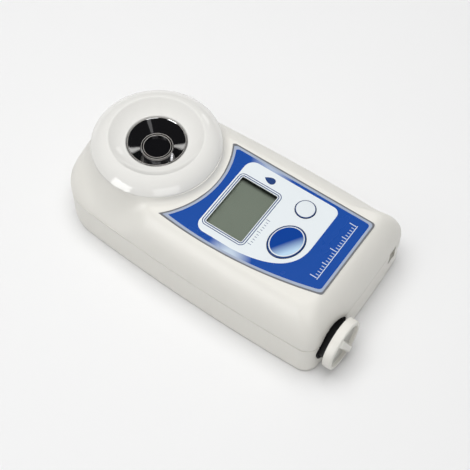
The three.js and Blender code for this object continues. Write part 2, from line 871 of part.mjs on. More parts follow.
function buildBlock() {
  const base = blockTop - blockDepth;
  const half = blockWidth / 2;
  const long = blockLength / 2;
  const core = block(-half, half, stageY - long, stageY + long, base, blockTop);
  const ears = block(-blockEarHalf, blockEarHalf, stageY - blockEarWidth / 2, stageY + blockEarWidth / 2,
    earBase, earTop);
  const neckClear = post(0, stageY, blockTop, domeEdgeHeight, dishNeckRadius + blockEarThickness, smallSteps);
  const arm = alongRay(post(0, 0, 0, sensorReach - seat, armRadius), 1, 0);
  const stubRadius = emitterRadius + fit + emitterWall;
  const stub = alongRay(post(0, 0, 0, emitterReach + emitterLength, stubRadius), -1, 0);
  const pocketHalf = prismRadius + fit;
  const shape = new THREE.Shape();
  shape.moveTo(-pocketHalf, overrun);
  shape.lineTo(-pocketHalf, 0);
  shape.lineTo(-prismFootHalf - fit, -prismDepth - fit);
  shape.lineTo(prismFootHalf + fit, -prismDepth - fit);
  shape.lineTo(pocketHalf, 0);
  shape.lineTo(pocketHalf, overrun);
  const pocket = plate(shape, -prismWidth / 2 - fit, prismWidth / 2 + fit)
    .rotate([90, 0, 0]).translate([0, stageY, blockTop + seat]);
  const lensBore = alongRay(post(0, 0, 0, sensorReach + overrun, lensRadius + fit), 1, 0);
  const emitterBore = alongRay(post(0, 0, 0, sensorReach, emitterRadius + fit), -1, 0);
  const screwHoles = [1, -1].map((side) => {
    return post(side * earScrewX, stageY, earBase - overrun, innerDeck, earScrewRadius + fit, tinySteps);
  });
  const probeHole = post(0, 0, 0, blockLength, probeRadius + fit, tinySteps)
    .rotate([-90, 0, 0]).translate([0, stageY, faceHeight]);
  const whole = join([core, ears, arm, stub]).subtract(neckClear);
  return cut(whole, [pocket, lensBore, emitterBore, probeHole, ...screwHoles]);
}

addPiece('stage_dome', buildDome(), glossWhite, 0.15, 0);
addPiece('sample_dish', buildDish(), steel, 0.12, 1);
addPiece('prism', buildPrism(), 0x2a2d30, 0.05, 0);
addPiece('prism_seal', buildPrismSeal(), black, 0.8, 0);
addPiece('optical_block', buildBlock(), black, 0.7, 0);

// Lens, light source, sensor and temperature probe
function buildLens() {
  const bulge = lensThickness / 4;
  const profile = [[0, -lensThickness / 2]];
  for (let i = 1; i <= baseSteps; i += 1) {
    const share = i / baseSteps;
    profile.push([lensRadius * share, -lensThickness / 2 + bulge * share * share]);
  }
  for (let i = baseSteps; i >= 0; i -= 1) {
    const share = i / baseSteps;
    profile.push([lensRadius * share, lensThickness / 2 - bulge * share * share]);
  }
  return alongRay(turned(profile, smallSteps), 1, lensReach);
}

function buildEmitter() {
  const profile = [[0, emitterReach + emitterLength], [emitterRadius, emitterReach + emitterLength]];
  for (let i = 0; i <= baseSteps; i += 1) {
    const angle = Math.PI / 2 * i / baseSteps;
    profile.push([emitterRadius * Math.cos(angle), emitterReach + emitterRadius * (1 - Math.sin(angle))]);
  }
  return alongRay(turned(profile.reverse(), tinySteps), -1, 0);
}

function buildSensor() {
  const half = sensorSize / 2;
  const top = sensorReach - seat;
  return alongRay(block(-half, half, -half, half, top - sensorThickness, top), 1, 0);
}

function buildSensorBoard() {
  const half = sensorBoardWidth / 2;
  const shape = roundedShape(-half, half, -half, half, boardCorner / 2);
  return alongRay(plate(shape, sensorReach, sensorReach + sensorBoardThickness, plateSteps), 1, 0);
}

function buildProbe() {
  const start = prismWidth / 2 + fit + seat;
  return post(0, 0, start, start + probeLength, probeRadius, tinySteps)
    .rotate([-90, 0, 0]).translate([0, stageY, faceHeight]);
}

function buildEarScrew(side) {
  const headTop = earBase - seat;
  const profile = [
    [0, headTop - earScrewHead],
    [earScrewHeadRadius, headTop - earScrewHead],
    [earScrewHeadRadius, headTop],
    [earScrewRadius - seat, headTop],
    [earScrewRadius - seat, innerDeck + earScrewBite - earScrewRadius],
    [0, innerDeck + earScrewBite - seat],
  ];
  return turned(profile, tinySteps).translate([side * earScrewX, stageY, 0]);
}

addPiece('lens', buildLens(), 0xdfe8ea, 0.05, 0);
addPiece('light_emitter', buildEmitter(), 0xf2c14a, 0.2, 0);
addPiece('image_sensor', buildSensor(), 0x26282c, 0.4, 0);
addPiece('sensor_board', buildSensorBoard(), boardGreen, 0.5, 0);
addPiece('temperature_probe', buildProbe(), 0x6b6f73, 0.4, 0.6);
addPiece('block_screw_left', buildEarScrew(-1), steel, 0.35, 1);
addPiece('block_screw_right', buildEarScrew(1), steel, 0.35, 1);

// Display stack: overlay, clear window, stepped display glass and its rubber connector
const glassTop = lipBase - seat;
const glassMiddle = glassTop - displayThickness;
const glassBase = glassMiddle - displayThickness;

function buildOverlay() {
  const sheet = plate(overlayShape(0), overlayBase, deckHeight, overlaySteps);
  return cut(sheet, [
    plate(windowShape(-fit), overlayBase - overrun, deckHeight + overrun, plateSteps),
    startKey(overlayBase - overrun, deckHeight + overrun, keyPlay),
    zeroKey(overlayBase - overrun, deckHeight + overrun, keyPlay),
  ]);
}

function buildDisplay() {
  const left = -windowLeft - displayMargin;
  const right = windowRight + displayMargin;
  const top = displayMargin - windowTop;
  const bottom = -windowBottom - displayMargin;
  const front = block(left, right, bottom, top, glassMiddle, glassTop);
  return front.add(block(left, right, bottom - displayLedge, top, glassBase, glassMiddle));
}

function buildConnector() {
  const ledgeEnd = -windowBottom - displayMargin - displayLedge;
  const far = ledgeEnd + connectorWidth;
  return block(-windowLeft, windowRight, ledgeEnd, far, boardUpper + seat, glassBase - seat);
}

addPiece('overlay', buildOverlay(), 0x2c54a4, 0.3, 0);
addPiece('display_window', plate(windowShape(windowMargin), windowBase, windowTopZ), 0xe6eceb, 0.05, 0);
addPiece('display_glass', buildDisplay(), 0x6f7a68, 0.3, 0);
addPiece('display_connector', buildConnector(), 0x3a3c40, 0.8, 0);

// Main board with notches for the case screws and holes for its pins
function buildMainBoard() {
  const shape = roundedShape(-boardHalfWidth, boardHalfWidth, boardBottom, boardTop, boardCorner);
  const notches = screwPlaces.map(([x, y]) => {
    return post(x, y, boardHeight - overrun, boardUpper + overrun, bossRadius + fit + fit, smallSteps);
  });
  const holes = boardPins.map(([x, y]) => {
    return post(x, y, boardHeight - overrun, boardUpper + overrun, boardPinRadius + fit, tinySteps);
  });
  return cut(plate(shape, boardHeight, boardUpper, plateSteps), [...notches, ...holes]);
}

function buildChip() {
  const half = chipSize / 2;
  const shape = roundedShape(chipX - half, chipX + half, chipY - half, chipY + half, boardCorner / 4);
  return plate(shape, boardUpper + seat, boardUpper + seat + chipThickness, plateSteps);
}

// Keys: a domed cap through the deck, a flange that stops it from below, and a stem
function buildKey(x, y, halfLength, halfThickness, turn) {
  const crown = [[0, keyFlangeBase], [1, keyFlangeBase]];
  for (let i = 0; i <= crownSteps; i += 1) {
    const angle = Math.PI / 2 * i / crownSteps;
    crown.push([Math.cos(angle), deckHeight + keyEdge + (keyRise - keyEdge) * Math.sin(angle)]);
  }
  const turnDegrees = turn * THREE.MathUtils.RAD2DEG;
  const cap = turned(crown, keySteps).scale([halfLength, halfThickness, 1]);
  const disc = post(0, 0, keyFlangeBase, keyFlangeTop, 1);
  const flange = disc.scale([halfLength + keyFlange, halfThickness + keyFlange, 1]);
  const stem = post(0, 0, plungerTop + seat, keyFlangeTop, keyStemRadius, tinySteps);
  return join([cap, flange, stem]).rotate([0, 0, turnDegrees]).translate([x, y, 0]);
}

function buildSwitch(x, y) {
  const half = switchWidth / 2;
  const shape = roundedShape(x - half, x + half, y - half, y + half, boardCorner / 4);
  const body = plate(shape, switchBase, switchTop, plateSteps);
  const depth = plungerDepth + keyTravel + fit;
  return body.subtract(post(x, y, switchTop - depth, switchTop + overrun, plungerRadius + fit, tinySteps));
}

function buildPlunger(x, y) {
  return post(x, y, switchTop - plungerDepth, plungerTop, plungerRadius, tinySteps);
}

addPiece('main_board', buildMainBoard(), boardGreen, 0.5, 0);
addPiece('main_chip', buildChip(), black, 0.6, 0);
const startKeySolid = buildKey(startX, startY, startHalfLength, startHalfWidth, startTurn);
const zeroKeySolid = buildKey(zeroX, zeroY, zeroRadius, zeroRadius, 0);
addPiece('start_button', startKeySolid, 0x1f4fa8, 0.15, 0);
addPiece('zero_button', zeroKeySolid, 0xe9eef0, 0.2, 0);
addPiece('start_switch', buildSwitch(startX, startY), black, 0.5, 0);
addPiece('zero_switch', buildSwitch(zeroX, zeroY), black, 0.5, 0);
addPiece('start_plunger', buildPlunger(startX, startY), steel, 0.4, 0.8);
addPiece('zero_plunger', buildPlunger(zeroX, zeroY), steel, 0.4, 0.8);

// Cells in line, their tube, and the contacts at both ends
const cellStart = capBack + seat + contactDome + seat;
const cellPitch = cellLength + cellNub + cellGap;
const cellsEnd = cellStart + cellPitch + cellLength + cellNub;
const farContactStart = cellsEnd + seat;
const farWallStart = farContactStart + contactDome + seat;

function roomInside(offset) {
  const crown = crownLayers(offset, upperBottom, deckHeight - offset, roomSteps);
  return loft([...trayLayers(offset, offset, lowerTop), ...crown]);
}

function buildCell(start) {
  const profile = [
    [0, 0],
    [cellRadius - cellEdge, 0],
    [cellRadius, cellEdge],
    [cellRadius, cellLength - cellEdge],
    [cellRadius - cellEdge, cellLength],
    [cellNubRadius, cellLength],
    [cellNubRadius, cellLength + cellNub],
    [0, cellLength + cellNub],
  ];
  return alongCells(turned(profile, smallSteps), start);
}

function buildTube() {
  const mouth = capEnd + wall + seat;
  const step = capBack + neckLength + fit - mouth;
  const far = farWallStart - mouth;
  const outer = tubeBore + tubeWall;
  const profile = closed([
    [neckHole, 0],
    [collarRadius, 0],
    [collarRadius, collarLength - tubeWall],
    [outer, collarLength],
    [outer, far + farWall],
    [0, far + farWall],
    [0, far],
    [tubeBore, far],
    [tubeBore, step],
    [neckHole, step],
  ]);
  const tube = alongCells(turned(profile, keySteps), mouth);
  const bosses = screwPlaces.map(([x, y]) => {
    return post(x, y, 0, deckHeight, bossRadius + wall / 2 + fit + fit, smallSteps);
  });
  const exits = lugExits(capStandOff + wall / 2);
  return cut(tube.intersect(roomInside(wall + fit)), [...lugWays(), ...exits, ...bosses]);
}

function contactPlate(start, facing) {
  const tip = facing > 0 ? contactDome : 0;
  const profile = facing > 0
    ? [[0, 0], [contactRadius, 0], [contactRadius, contactThickness], [contactRadius / 2, contactThickness],
      [cellNubRadius / 2, tip], [0, tip]]
    : [[0, 0], [cellNubRadius / 2, 0], [contactRadius / 2, contactDome - contactThickness],
      [contactRadius, contactDome - contactThickness], [contactRadius, contactDome], [0, contactDome]];
  return alongCells(turned(profile, smallSteps), start);
}

addPiece('battery_tube', buildTube(), 0x3c4043, 0.6, 0);
addPiece('cell_front', buildCell(cellStart), 0xb8bcc0, 0.3, 0.8);
addPiece('cell_back', buildCell(cellStart + cellPitch), 0xb8bcc0, 0.3, 0.8);
addPiece('far_contact', contactPlate(farContactStart, -1), gold, 0.3, 1);

// Twist cap: rimmed disc, two finger pockets with a ridge between them, neck and lugs
function pocketShape() {
  const radius = capRadius - capRim;
  const edge = Math.asin(capBarWidth / 2 / radius);
  const shape = new THREE.Shape();
  shape.absarc(0, 0, radius, edge, Math.PI - edge);
  shape.quadraticCurveTo(0, capBarWaist - capBarWidth / 2, radius * Math.cos(edge), radius * Math.sin(edge));
  return shape;
}

function ridge() {
  const radius = capRadius - capRim;
  const half = capBarWidth / 2;
  const waist = capBarWaist - half;
  const plan = new THREE.Shape();
  plan.moveTo(-radius, -half);
  plan.quadraticCurveTo(0, -waist, radius, -half);
  plan.lineTo(radius, half);
  plan.quadraticCurveTo(0, waist, -radius, half);
  const arch = new THREE.Shape();
  arch.absellipse(0, 0, radius, capBarProud + capThickness / 2, Math.PI, Math.PI * 2);
  const side = plate(arch, -half, half, tinySteps).rotate([90, 0, 0]).translate([0, 0, -capThickness / 2]);
  return plate(plan, -capThickness - capBarProud - overrun, -capThickness / 2, overlaySteps).intersect(side);
}

function buildCap() {
  const face = -capThickness;
  const profile = [
    [0, face],
    [capRadius - capEdge, face],
    [capRadius - capEdge / 3, face + capEdge / 3],
    [capRadius, face + capEdge],
    [capRadius, -capEdge],
    [capRadius - capEdge, 0],
    [neckRadius, 0],
    [neckRadius, neckLength],
    [neckRadius - neckWall, neckLength],
    [neckRadius - neckWall, 0],
    [0, 0],
  ];
  const disc = turned(profile, roundSteps);
  const pocket = plate(pocketShape(), face - overrun, face + capPocketDepth, tinySteps);
  const cutTop = cut(disc, [pocket, pocket.rotate([0, 0, 180])]);
  const turnDegrees = capBarTurn * THREE.MathUtils.RAD2DEG;
  const grip = cutTop.add(ridge()).rotate([0, 0, turnDegrees]);
  return join([alongCells(grip, capBack), ...bothLugs(lugStart, 0, lugNear, lugFar, 0)]);
}

function buildCapSeal() {
  const middle = neckRadius + seat + sealSection;
  const profile = [];
  for (let i = 0; i < tinySteps / 2; i += 1) {
    const angle = Math.PI * 4 * i / tinySteps;
    const radius = middle + sealSection * Math.cos(angle);
    profile.push([radius, seat + sealSection + sealSection * Math.sin(angle)]);
  }
  return alongCells(turned(closed(profile), smallSteps), capBack);
}

addPiece('battery_cap', buildCap(), shellWhite, 0.6, 0);
addPiece('cap_contact', contactPlate(capBack + seat, 1), gold, 0.3, 1);
addPiece('cap_seal', buildCapSeal(), black, 0.9, 0);

export default group;
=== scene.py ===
"""Looks of a digital pocket refractometer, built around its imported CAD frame.

Lengths named in millimetres carry MM; everything put into Blender is in metres, in the row frame.
"""

import json
import math

import bpy
import numpy as np
from mathutils import Matrix, Vector
from mathutils.geometry import delaunay_2d_cdt


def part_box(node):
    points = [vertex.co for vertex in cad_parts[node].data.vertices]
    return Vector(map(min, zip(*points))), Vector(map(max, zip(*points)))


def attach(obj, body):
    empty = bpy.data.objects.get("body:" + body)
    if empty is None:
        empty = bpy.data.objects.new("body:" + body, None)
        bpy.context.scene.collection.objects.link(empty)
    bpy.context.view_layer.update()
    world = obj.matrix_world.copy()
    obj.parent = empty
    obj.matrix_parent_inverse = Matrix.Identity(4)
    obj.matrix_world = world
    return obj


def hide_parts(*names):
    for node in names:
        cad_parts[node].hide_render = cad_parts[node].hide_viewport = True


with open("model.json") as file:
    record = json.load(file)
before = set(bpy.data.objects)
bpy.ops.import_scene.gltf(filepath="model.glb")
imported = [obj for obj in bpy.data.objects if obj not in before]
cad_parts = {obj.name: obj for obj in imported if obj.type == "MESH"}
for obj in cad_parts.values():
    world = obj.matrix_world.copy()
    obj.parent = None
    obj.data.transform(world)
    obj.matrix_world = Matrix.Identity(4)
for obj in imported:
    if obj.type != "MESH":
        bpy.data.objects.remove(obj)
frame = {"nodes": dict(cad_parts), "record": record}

bl_info = {
    "name": "Pocket refractometer looks",
    "version": (1, 0, 0),
    "blender": (4, 5, 0),
    "location": "View3D > Sidebar > Refractometer",
    "description": "Smooth skins, printed film, polished well and studio for a digital pocket refractometer",
    "category": "Object",
}

MM = 0.001


def reach(name, axis, end):
    """One face of a CAD node's box in millimetres, by axis: end 0 is the low one and 1 the high one."""
    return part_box(name)[end][axis] / MM


# Places read from the frame, in millimetres; the end wall in the photograph is set back from the CAD node's
SET_BACK = 1.2
HALF_WIDTH = reach("lower_case", 0, 1)
CAP_END = reach("lower_case", 1, 0) + SET_BACK
HEAD_END = reach("lower_case", 1, 1)
DECK = reach("overlay", 2, 1)
CREST = reach("stage_dome", 2, 1)
DOME_RADIUS = reach("stage_dome", 0, 1)
STAGE_Y = reach("stage_dome", 1, 1) - DOME_RADIUS
DISH_TOP = reach("sample_dish", 2, 1)
DISH_RADIUS = reach("sample_dish", 0, 1)
CAP_X = (reach("cap_contact", 0, 0) + reach("cap_contact", 0, 1)) / 2
CAP_Z = (reach("cap_contact", 2, 0) + reach("cap_contact", 2, 1)) / 2
GLASS_TOP = reach("display_glass", 2, 1)


def length(name, description, default):
    """A length property in metres, its default given in millimetres."""
    return bpy.props.FloatProperty(
        name=name, description=description, default=default * MM, precision=5, unit="LENGTH")


def angle(name, description, default):
    """An angle property, its default given in degrees."""
    return bpy.props.FloatProperty(
        name=name, description=description, default=math.radians(default), subtype="ANGLE")


def number(name, description, default):
    """A plain number property."""
    return bpy.props.FloatProperty(name=name, description=description, default=default)


def colour(name, description, default):
    """A colour property, its default given as the colour seen, from 0 to 255."""
    linear = [((c / 255 + 0.055) / 1.055) ** 2.4 if c > 10 else c / 255 / 12.92 for c in default]
    return bpy.props.FloatVectorProperty(
        name=name, description=description, default=linear, size=3, subtype="COLOR", min=0, max=1)


class BodySizes(bpy.types.PropertyGroup):
    """Sizes of the moulded body's skins."""

    parting: length("Parting height", "Height of the middle of the groove between the cases", 13.9)
    groove: length("Groove", "Width of the groove between the cases", 0.3)
    side_radius: length("Side radius", "Radius of the bowed sides in plan", 680)
    head_radius: length("Head radius", "Radius of the round head end in plan", 60)
    end_radius: length("Cap end radius", "Radius of the nearly straight cap end in plan", 400)
    head_corner: length("Head corner", "Corner radius at the head end", 16)
    end_corner: length("Cap corner", "Corner radius at the cap end", 5)
    widest: length("Widest place", "Distance of the widest place from the cap end", 29.4)
    crown: length("Crown width", "Width over which the side rolls over to the deck", 7.3)
    right_crown: length("Right crown width", "Width of the softer crown along the right side", 11)
    crown_power: number("Crown power", "Power of the crown's rounded profile", 1.7)
    right_power: number("Right crown power", "Power of the right crown's profile", 1.3)
    seal_outer: length("Seal outer", "Outer side of the case seal inside the outline", 1.5)
    seal_inner: length("Seal inner", "Inner side of the case seal inside the outline", 2.3)
    seal_half: length("Seal half", "Half the height of the case seal", 0.35)
    soft_from: length("Soft from", "Place along the body where the softer crown of the head begins", 13)
    soft_over: length("Soft over", "Length over which the crown turns softer towards the head", 11)
    draft: length("Draft", "Inward lean of the lower case over its height", 0.2)
    base_edge: length("Base edge", "Radius of the edge round the base", 1.4)
    collar_top: length("Collar top", "Height of the collar where it meets the glossy stage", 29.85)
    collar_angle: angle("Collar angle", "Slope of the collar where it meets the stage", 66)
    fillet: length("Fillet", "Reach of the fillet between collar and deck", 2.6)
    fillet_growth: number("Fillet growth", "Growth of the fillet's reach with the drop of the crown", 0.2)


class StageSizes(bpy.types.PropertyGroup):
    """Sizes of the glossy stage and its polished well."""

    crest_radius: length("Crest radius", "Radius of the stage's crest", 14.9)
    crest_round: length("Crest round", "Rounding of the crest", 0.35)
    low_slope: angle("Low slope", "Slope of the stage's flank at the collar", 54)
    high_slope: angle("High slope", "Slope of the stage's flank at the crest", 14)
    bore: length("Bore", "Play between the stage and the dish", 0.22)
    rim: length("Rim", "Width of the dish's flat rim", 0.42)
    funnel_radius: length("Funnel foot", "Radius of the funnel at its foot", 5.15)
    funnel_depth: length("Funnel depth", "Depth of the funnel under the rim", 2.75)
    funnel_power: number("Funnel power", "Power of the funnel's depth over its run", 0.97)
    bead: length("Bead", "Radius of the thin rings of the dish", 0.085)
    window: length("Prism window", "Radius of the opening over the prism", 4.05)
    cone_bow: length("Cone bow", "Sag of the stage's inner cone", 0.38)


class FilmSizes(bpy.types.PropertyGroup):
    """Sizes of the printed film, its window and its keys."""

    right: length("Right edge", "Right edge from the middle", 15.2)
    left: length("Left tip", "Left upper tip from the middle", 19.3)
    bottom: length("Bottom edge", "Bottom edge from the origin", 44)
    arc: length("Arc radius", "Radius of the concave upper edge", 28)
    arc_place: length("Arc place", "Arc centre beyond the stage's centre", 5.4)
    bow: length("Bow", "Control point of the bowed left edge, from the middle", 22.2)
    bow_place: length("Bow place", "Control point of the bowed left edge, from the origin", 16.5)
    foot: length("Foot", "Left end of the bottom edge, from the middle", 14.9)
    corner: length("Corner", "Corner radius", 1.3)
    border: length("Border", "Width of the film's grey border", 0.5)
    line: length("Line", "Width of the pale line inside the border", 0.75)
    window_left: length("Window left", "Left edge of the window", 13.5)
    window_right: length("Window right", "Right edge of the window", 6.5)
    window_top: length("Window top", "Upper edge of the window under the origin", 1.5)
    window_bottom: length("Window bottom", "Lower edge of the window under the origin", 14.8)
    start_x: length("Start key x", "Start key's centre, from the middle", -5.5)
    start_y: length("Start key y", "Start key's centre, along the body", -25.6)
    start_long: length("Start key length", "Half the start key's length", 6.3)
    start_short: length("Start key width", "Half the start key's width", 5.1)
    start_turn: angle("Start key turn", "Turn of the start key's long axis", -15)
    zero_x: length("Zero key x", "Zero key's centre, from the middle", 7.35)
    zero_y: length("Zero key y", "Zero key's centre, along the body", -23.9)
    zero_radius: length("Zero key radius", "Radius of the zero key", 3.15)
    key_rise: length("Key rise", "Height of a key's middle over the film", 0.55)
    key_edge: length("Key edge", "Height of a key's edge over the film", 0.2)
    key_gap: length("Key gap", "Gap round a key", 0.2)


class CapSizes(bpy.types.PropertyGroup):
    """Sizes of the twist cap and the strap opening."""

    back: length("Back", "Distance of the cap's back from the origin", 51.7)
    radius: length("Radius", "Radius of the cap's disc", 8.35)
    thickness: length("Thickness", "Thickness of the cap's disc", 3.0)
    rim: length("Rim", "Width of the cap's rim", 1.2)
    pocket: length("Pocket", "Depth of the finger pockets", 1.6)
    ridge: length("Ridge", "Half width of the ridge at its ends", 1.35)
    waist: length("Waist", "Half width of the ridge in its middle", 0.9)
    proud: length("Proud", "Height of the ridge over the rim", 1.4)
    turn: angle("Ridge turn", "Turn of the ridge from the level, seen from behind", 64)
    well: length("Well", "Radius of the shallow well behind the cap", 7.5)
    well_depth: length("Well depth", "Depth of that well", 0.7)
    neck_hole: length("Neck hole", "Radius of the hole for the cap's neck", 6.55)
    mouth_left: length("Mouth left", "Left side of the strap mouth", 16.5)
    mouth_width: length("Mouth width", "Width of the strap mouth", 4.2)
    pillar: length("Pillar", "Thickness of the strap pillar", 2.6)
    passage: length("Passage", "Width of the strap passage", 4.6)
    mouth_low: length("Mouth low", "Underside of the strap passage", 7.9)
    mouth_high: length("Mouth high", "Top of the strap passage", 13.5)


class Colours(bpy.types.PropertyGroup):
    """Colours of the finishes."""

    shell: colour("Shell", "Matte shell plastic", (233, 231, 224))
    gloss: colour("Gloss", "Glossy stage plastic", (232, 231, 227))
    # Pocket colour: real stipple, and painted shade, darker than the shell to stand for the shade inside the
    # finger pockets
    pocket: colour("Pocket", "Stippled pockets of the cap", (216, 215, 210))
    silver: colour("Silver", "Grey border of the film", (136, 138, 143))
    pale: colour("Pale line", "Line inside the border", (166, 177, 197))
    blue: colour("Blue", "Field of the film", (24, 76, 162))
    fade: colour("Fade", "Pale place of the blue field", (196, 210, 226))
    panel: colour("Panel", "White panel of the film", (228, 234, 237))
    ink: colour("Ink", "Dark blue ink", (38, 66, 122))
    display: colour("Display", "Display face", (127, 134, 123))
    # Painted shadow of the window recess's wall, laid along the display's right edge
    display_edge: colour("Display edge", "Shaded right edge of the display", (34, 37, 33))
    key_light: colour("Key light", "Light side of the start key", (188, 217, 240))
    key_dark: colour("Key dark", "Dark side of the start key", (19, 66, 152))


class Studio(bpy.types.PropertyGroup):
    """Camera angles, distance, aim and lens."""

    azimuth: angle("Azimuth", "Camera azimuth", -55.859)
    elevation: angle("Elevation", "Camera elevation", 58.432)
    roll: angle("Roll", "Camera roll", 1.05)
    distance: length("Distance", "Camera distance from the point aimed at", 399.588)
    aim: bpy.props.FloatVectorProperty(
        name="Aim", description="Point that the camera looks at", size=3, subtype="XYZ",
        default=(-0.0054565, -0.0070836, 0.014))
    lens: number("Lens", "Focal length in millimetres", 98.846)


GROUPS = {
    "refr_body": BodySizes,
    "refr_stage": StageSizes,
    "refr_film": FilmSizes,
    "refr_cap": CapSizes,
    "refr_colours": Colours,
    "refr_studio": Studio,
}


class Values:
    """A property group's lengths in millimetres, its other values as they are."""

    def __init__(self, group):
        for name, prop in group.bl_rna.properties.items():
            if name not in ("rna_type", "name"):
                value = getattr(group, name)
                setattr(self, name, value / MM if prop.unit == "LENGTH" else value)


def values(name):
    """The values of one property group of the scene."""
    return Values(getattr(bpy.context.scene, name))


# Meshes from arrays

def put(name, points, faces, body, slot, stands_for, materials, indices=None, smooth=True):
    """A mesh object from points in millimetres and faces of one length, riding on a body."""
    points = np.asarray(points, float).reshape(-1, 3)
    faces = np.asarray(faces, np.int32)
    mesh = bpy.data.meshes.new(name)
    mesh.vertices.add(len(points))
    mesh.vertices.foreach_set("co", (points * MM).astype(np.float32).ravel())
    mesh.loops.add(faces.size)
    mesh.loops.foreach_set("vertex_index", faces.ravel())
    mesh.polygons.add(len(faces))
    mesh.polygons.foreach_set("loop_start", np.arange(len(faces), dtype=np.int32) * faces.shape[1])
    if indices is not None:
        mesh.polygons.foreach_set("material_index", np.asarray(indices, np.int32))
    mesh.polygons.foreach_set("use_smooth", np.full(len(faces), smooth))
    mesh.update(calc_edges=True)
    mesh.validate()
    for material in materials:
        mesh.materials.append(material)
    made = bpy.data.objects.new(name, mesh)
    bpy.context.scene.collection.objects.link(made)
    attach(made, body)
    if stands_for:
        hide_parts(*stands_for)


def grid_faces(rows, columns):
    """Quads between neighbouring rows and columns of a grid whose last column joins its first."""
    index = np.arange(rows * columns).reshape(rows, columns)
    right = np.roll(index, -1, axis=1)
    return np.stack([index[:-1], right[:-1], right[1:], index[1:]], axis=-1).reshape(-1, 4)


def split_quads(quads):
    """Two triangles for each quad."""
    return np.vstack([quads[:, [0, 1, 2]], quads[:, [0, 2, 3]]])


def joined(parts):
    """Several (points, faces, material index) parts as one set of arrays."""
    points, faces, indices, start = [], [], [], 0
    for part_points, part_faces, index in parts:
        points.append(part_points)
        faces.append(part_faces + start)
        indices.append(np.full(len(part_faces), index))
        start += len(part_points)
    return np.vstack(points), np.vstack(faces), np.concatenate(indices)


def unit(vector):
    """A vector of length one."""
    return vector / np.linalg.norm(vector)


def around(count):
    """Angles set evenly round a full turn."""
    return np.linspace(0, 2 * np.pi, count, endpoint=False)


def turned(u, v, x, y, turn):
    """Coordinates turned by an angle about the origin, then moved to x, y."""
    cosine, sine = math.cos(turn), math.sin(turn)
    return x + u * cosine - v * sine, y + u * sine + v * cosine


def arc_points(x, y, radius, start, stop, count):
    """Points along an arc about x, y."""
    bearing = np.linspace(start, stop, count)
    return np.stack([x + radius * np.cos(bearing), y + radius * np.sin(bearing)], axis=-1)


def curve(start, pull, stop, share):
    """A curve from start to stop drawn towards a point between them: weights (1-s)^2, 2s(1-s) and s^2."""
    return start * (1 - share) ** 2 + 2 * pull * share * (1 - share) + stop * share ** 2


def at_height(ring, height):
    """A flat ring of points at one height."""
    return np.c_[ring, np.full(len(ring), height)]


def lathe(profile, centre, steps, upright=True):
    """Turns (radius, place) pairs about an axis through centre, upright or along the body, into circles."""
    profile = np.asarray(profile, float)
    across = profile[:, 0, None] * np.cos(around(steps))
    along = profile[:, 0, None] * np.sin(around(steps))
    place = np.repeat(profile[:, 1, None], steps, axis=1)
    columns = [centre[0] + across, centre[1] + along, place]
    if not upright:
        columns = [columns[0], place, columns[1]]
    return np.stack(columns, axis=-1).reshape(-1, 3), grid_faces(len(profile), steps)


# The body's outline and crown

def within(arc, x, y):
    """How far a place lies inside the circle of an arc, which is a centre and a radius."""
    centre, radius = arc
    return radius - np.hypot(x - centre[0], y - centre[1])


def corner_arc(first, second, radius, near):
    """The arc that touches two larger ones from inside: its centre is where their circles cross when each is
    smaller by its radius."""
    (start, a), (stop, b) = first, second
    a, b = a - radius, b - radius
    distance = np.linalg.norm(stop - start)
    along = (a * a - b * b + distance * distance) / (2 * distance)
    step = (stop - start) / distance
    sideways = np.array([-step[1], step[0]]) * math.sqrt(max(a * a - along * along, 0))
    foot = start + step * along
    return min(foot + sideways, foot - sideways, key=lambda option: np.linalg.norm(option - near)), radius


def pulled(ring, amount):
    """Points of a closed ring moved inwards by amount along their normals."""
    along = np.roll(ring, -1, axis=0) - np.roll(ring, 1, axis=0)
    along /= np.linalg.norm(along, axis=1, keepdims=True)
    return ring + np.stack([-along[:, 1], along[:, 0]], axis=-1) * amount


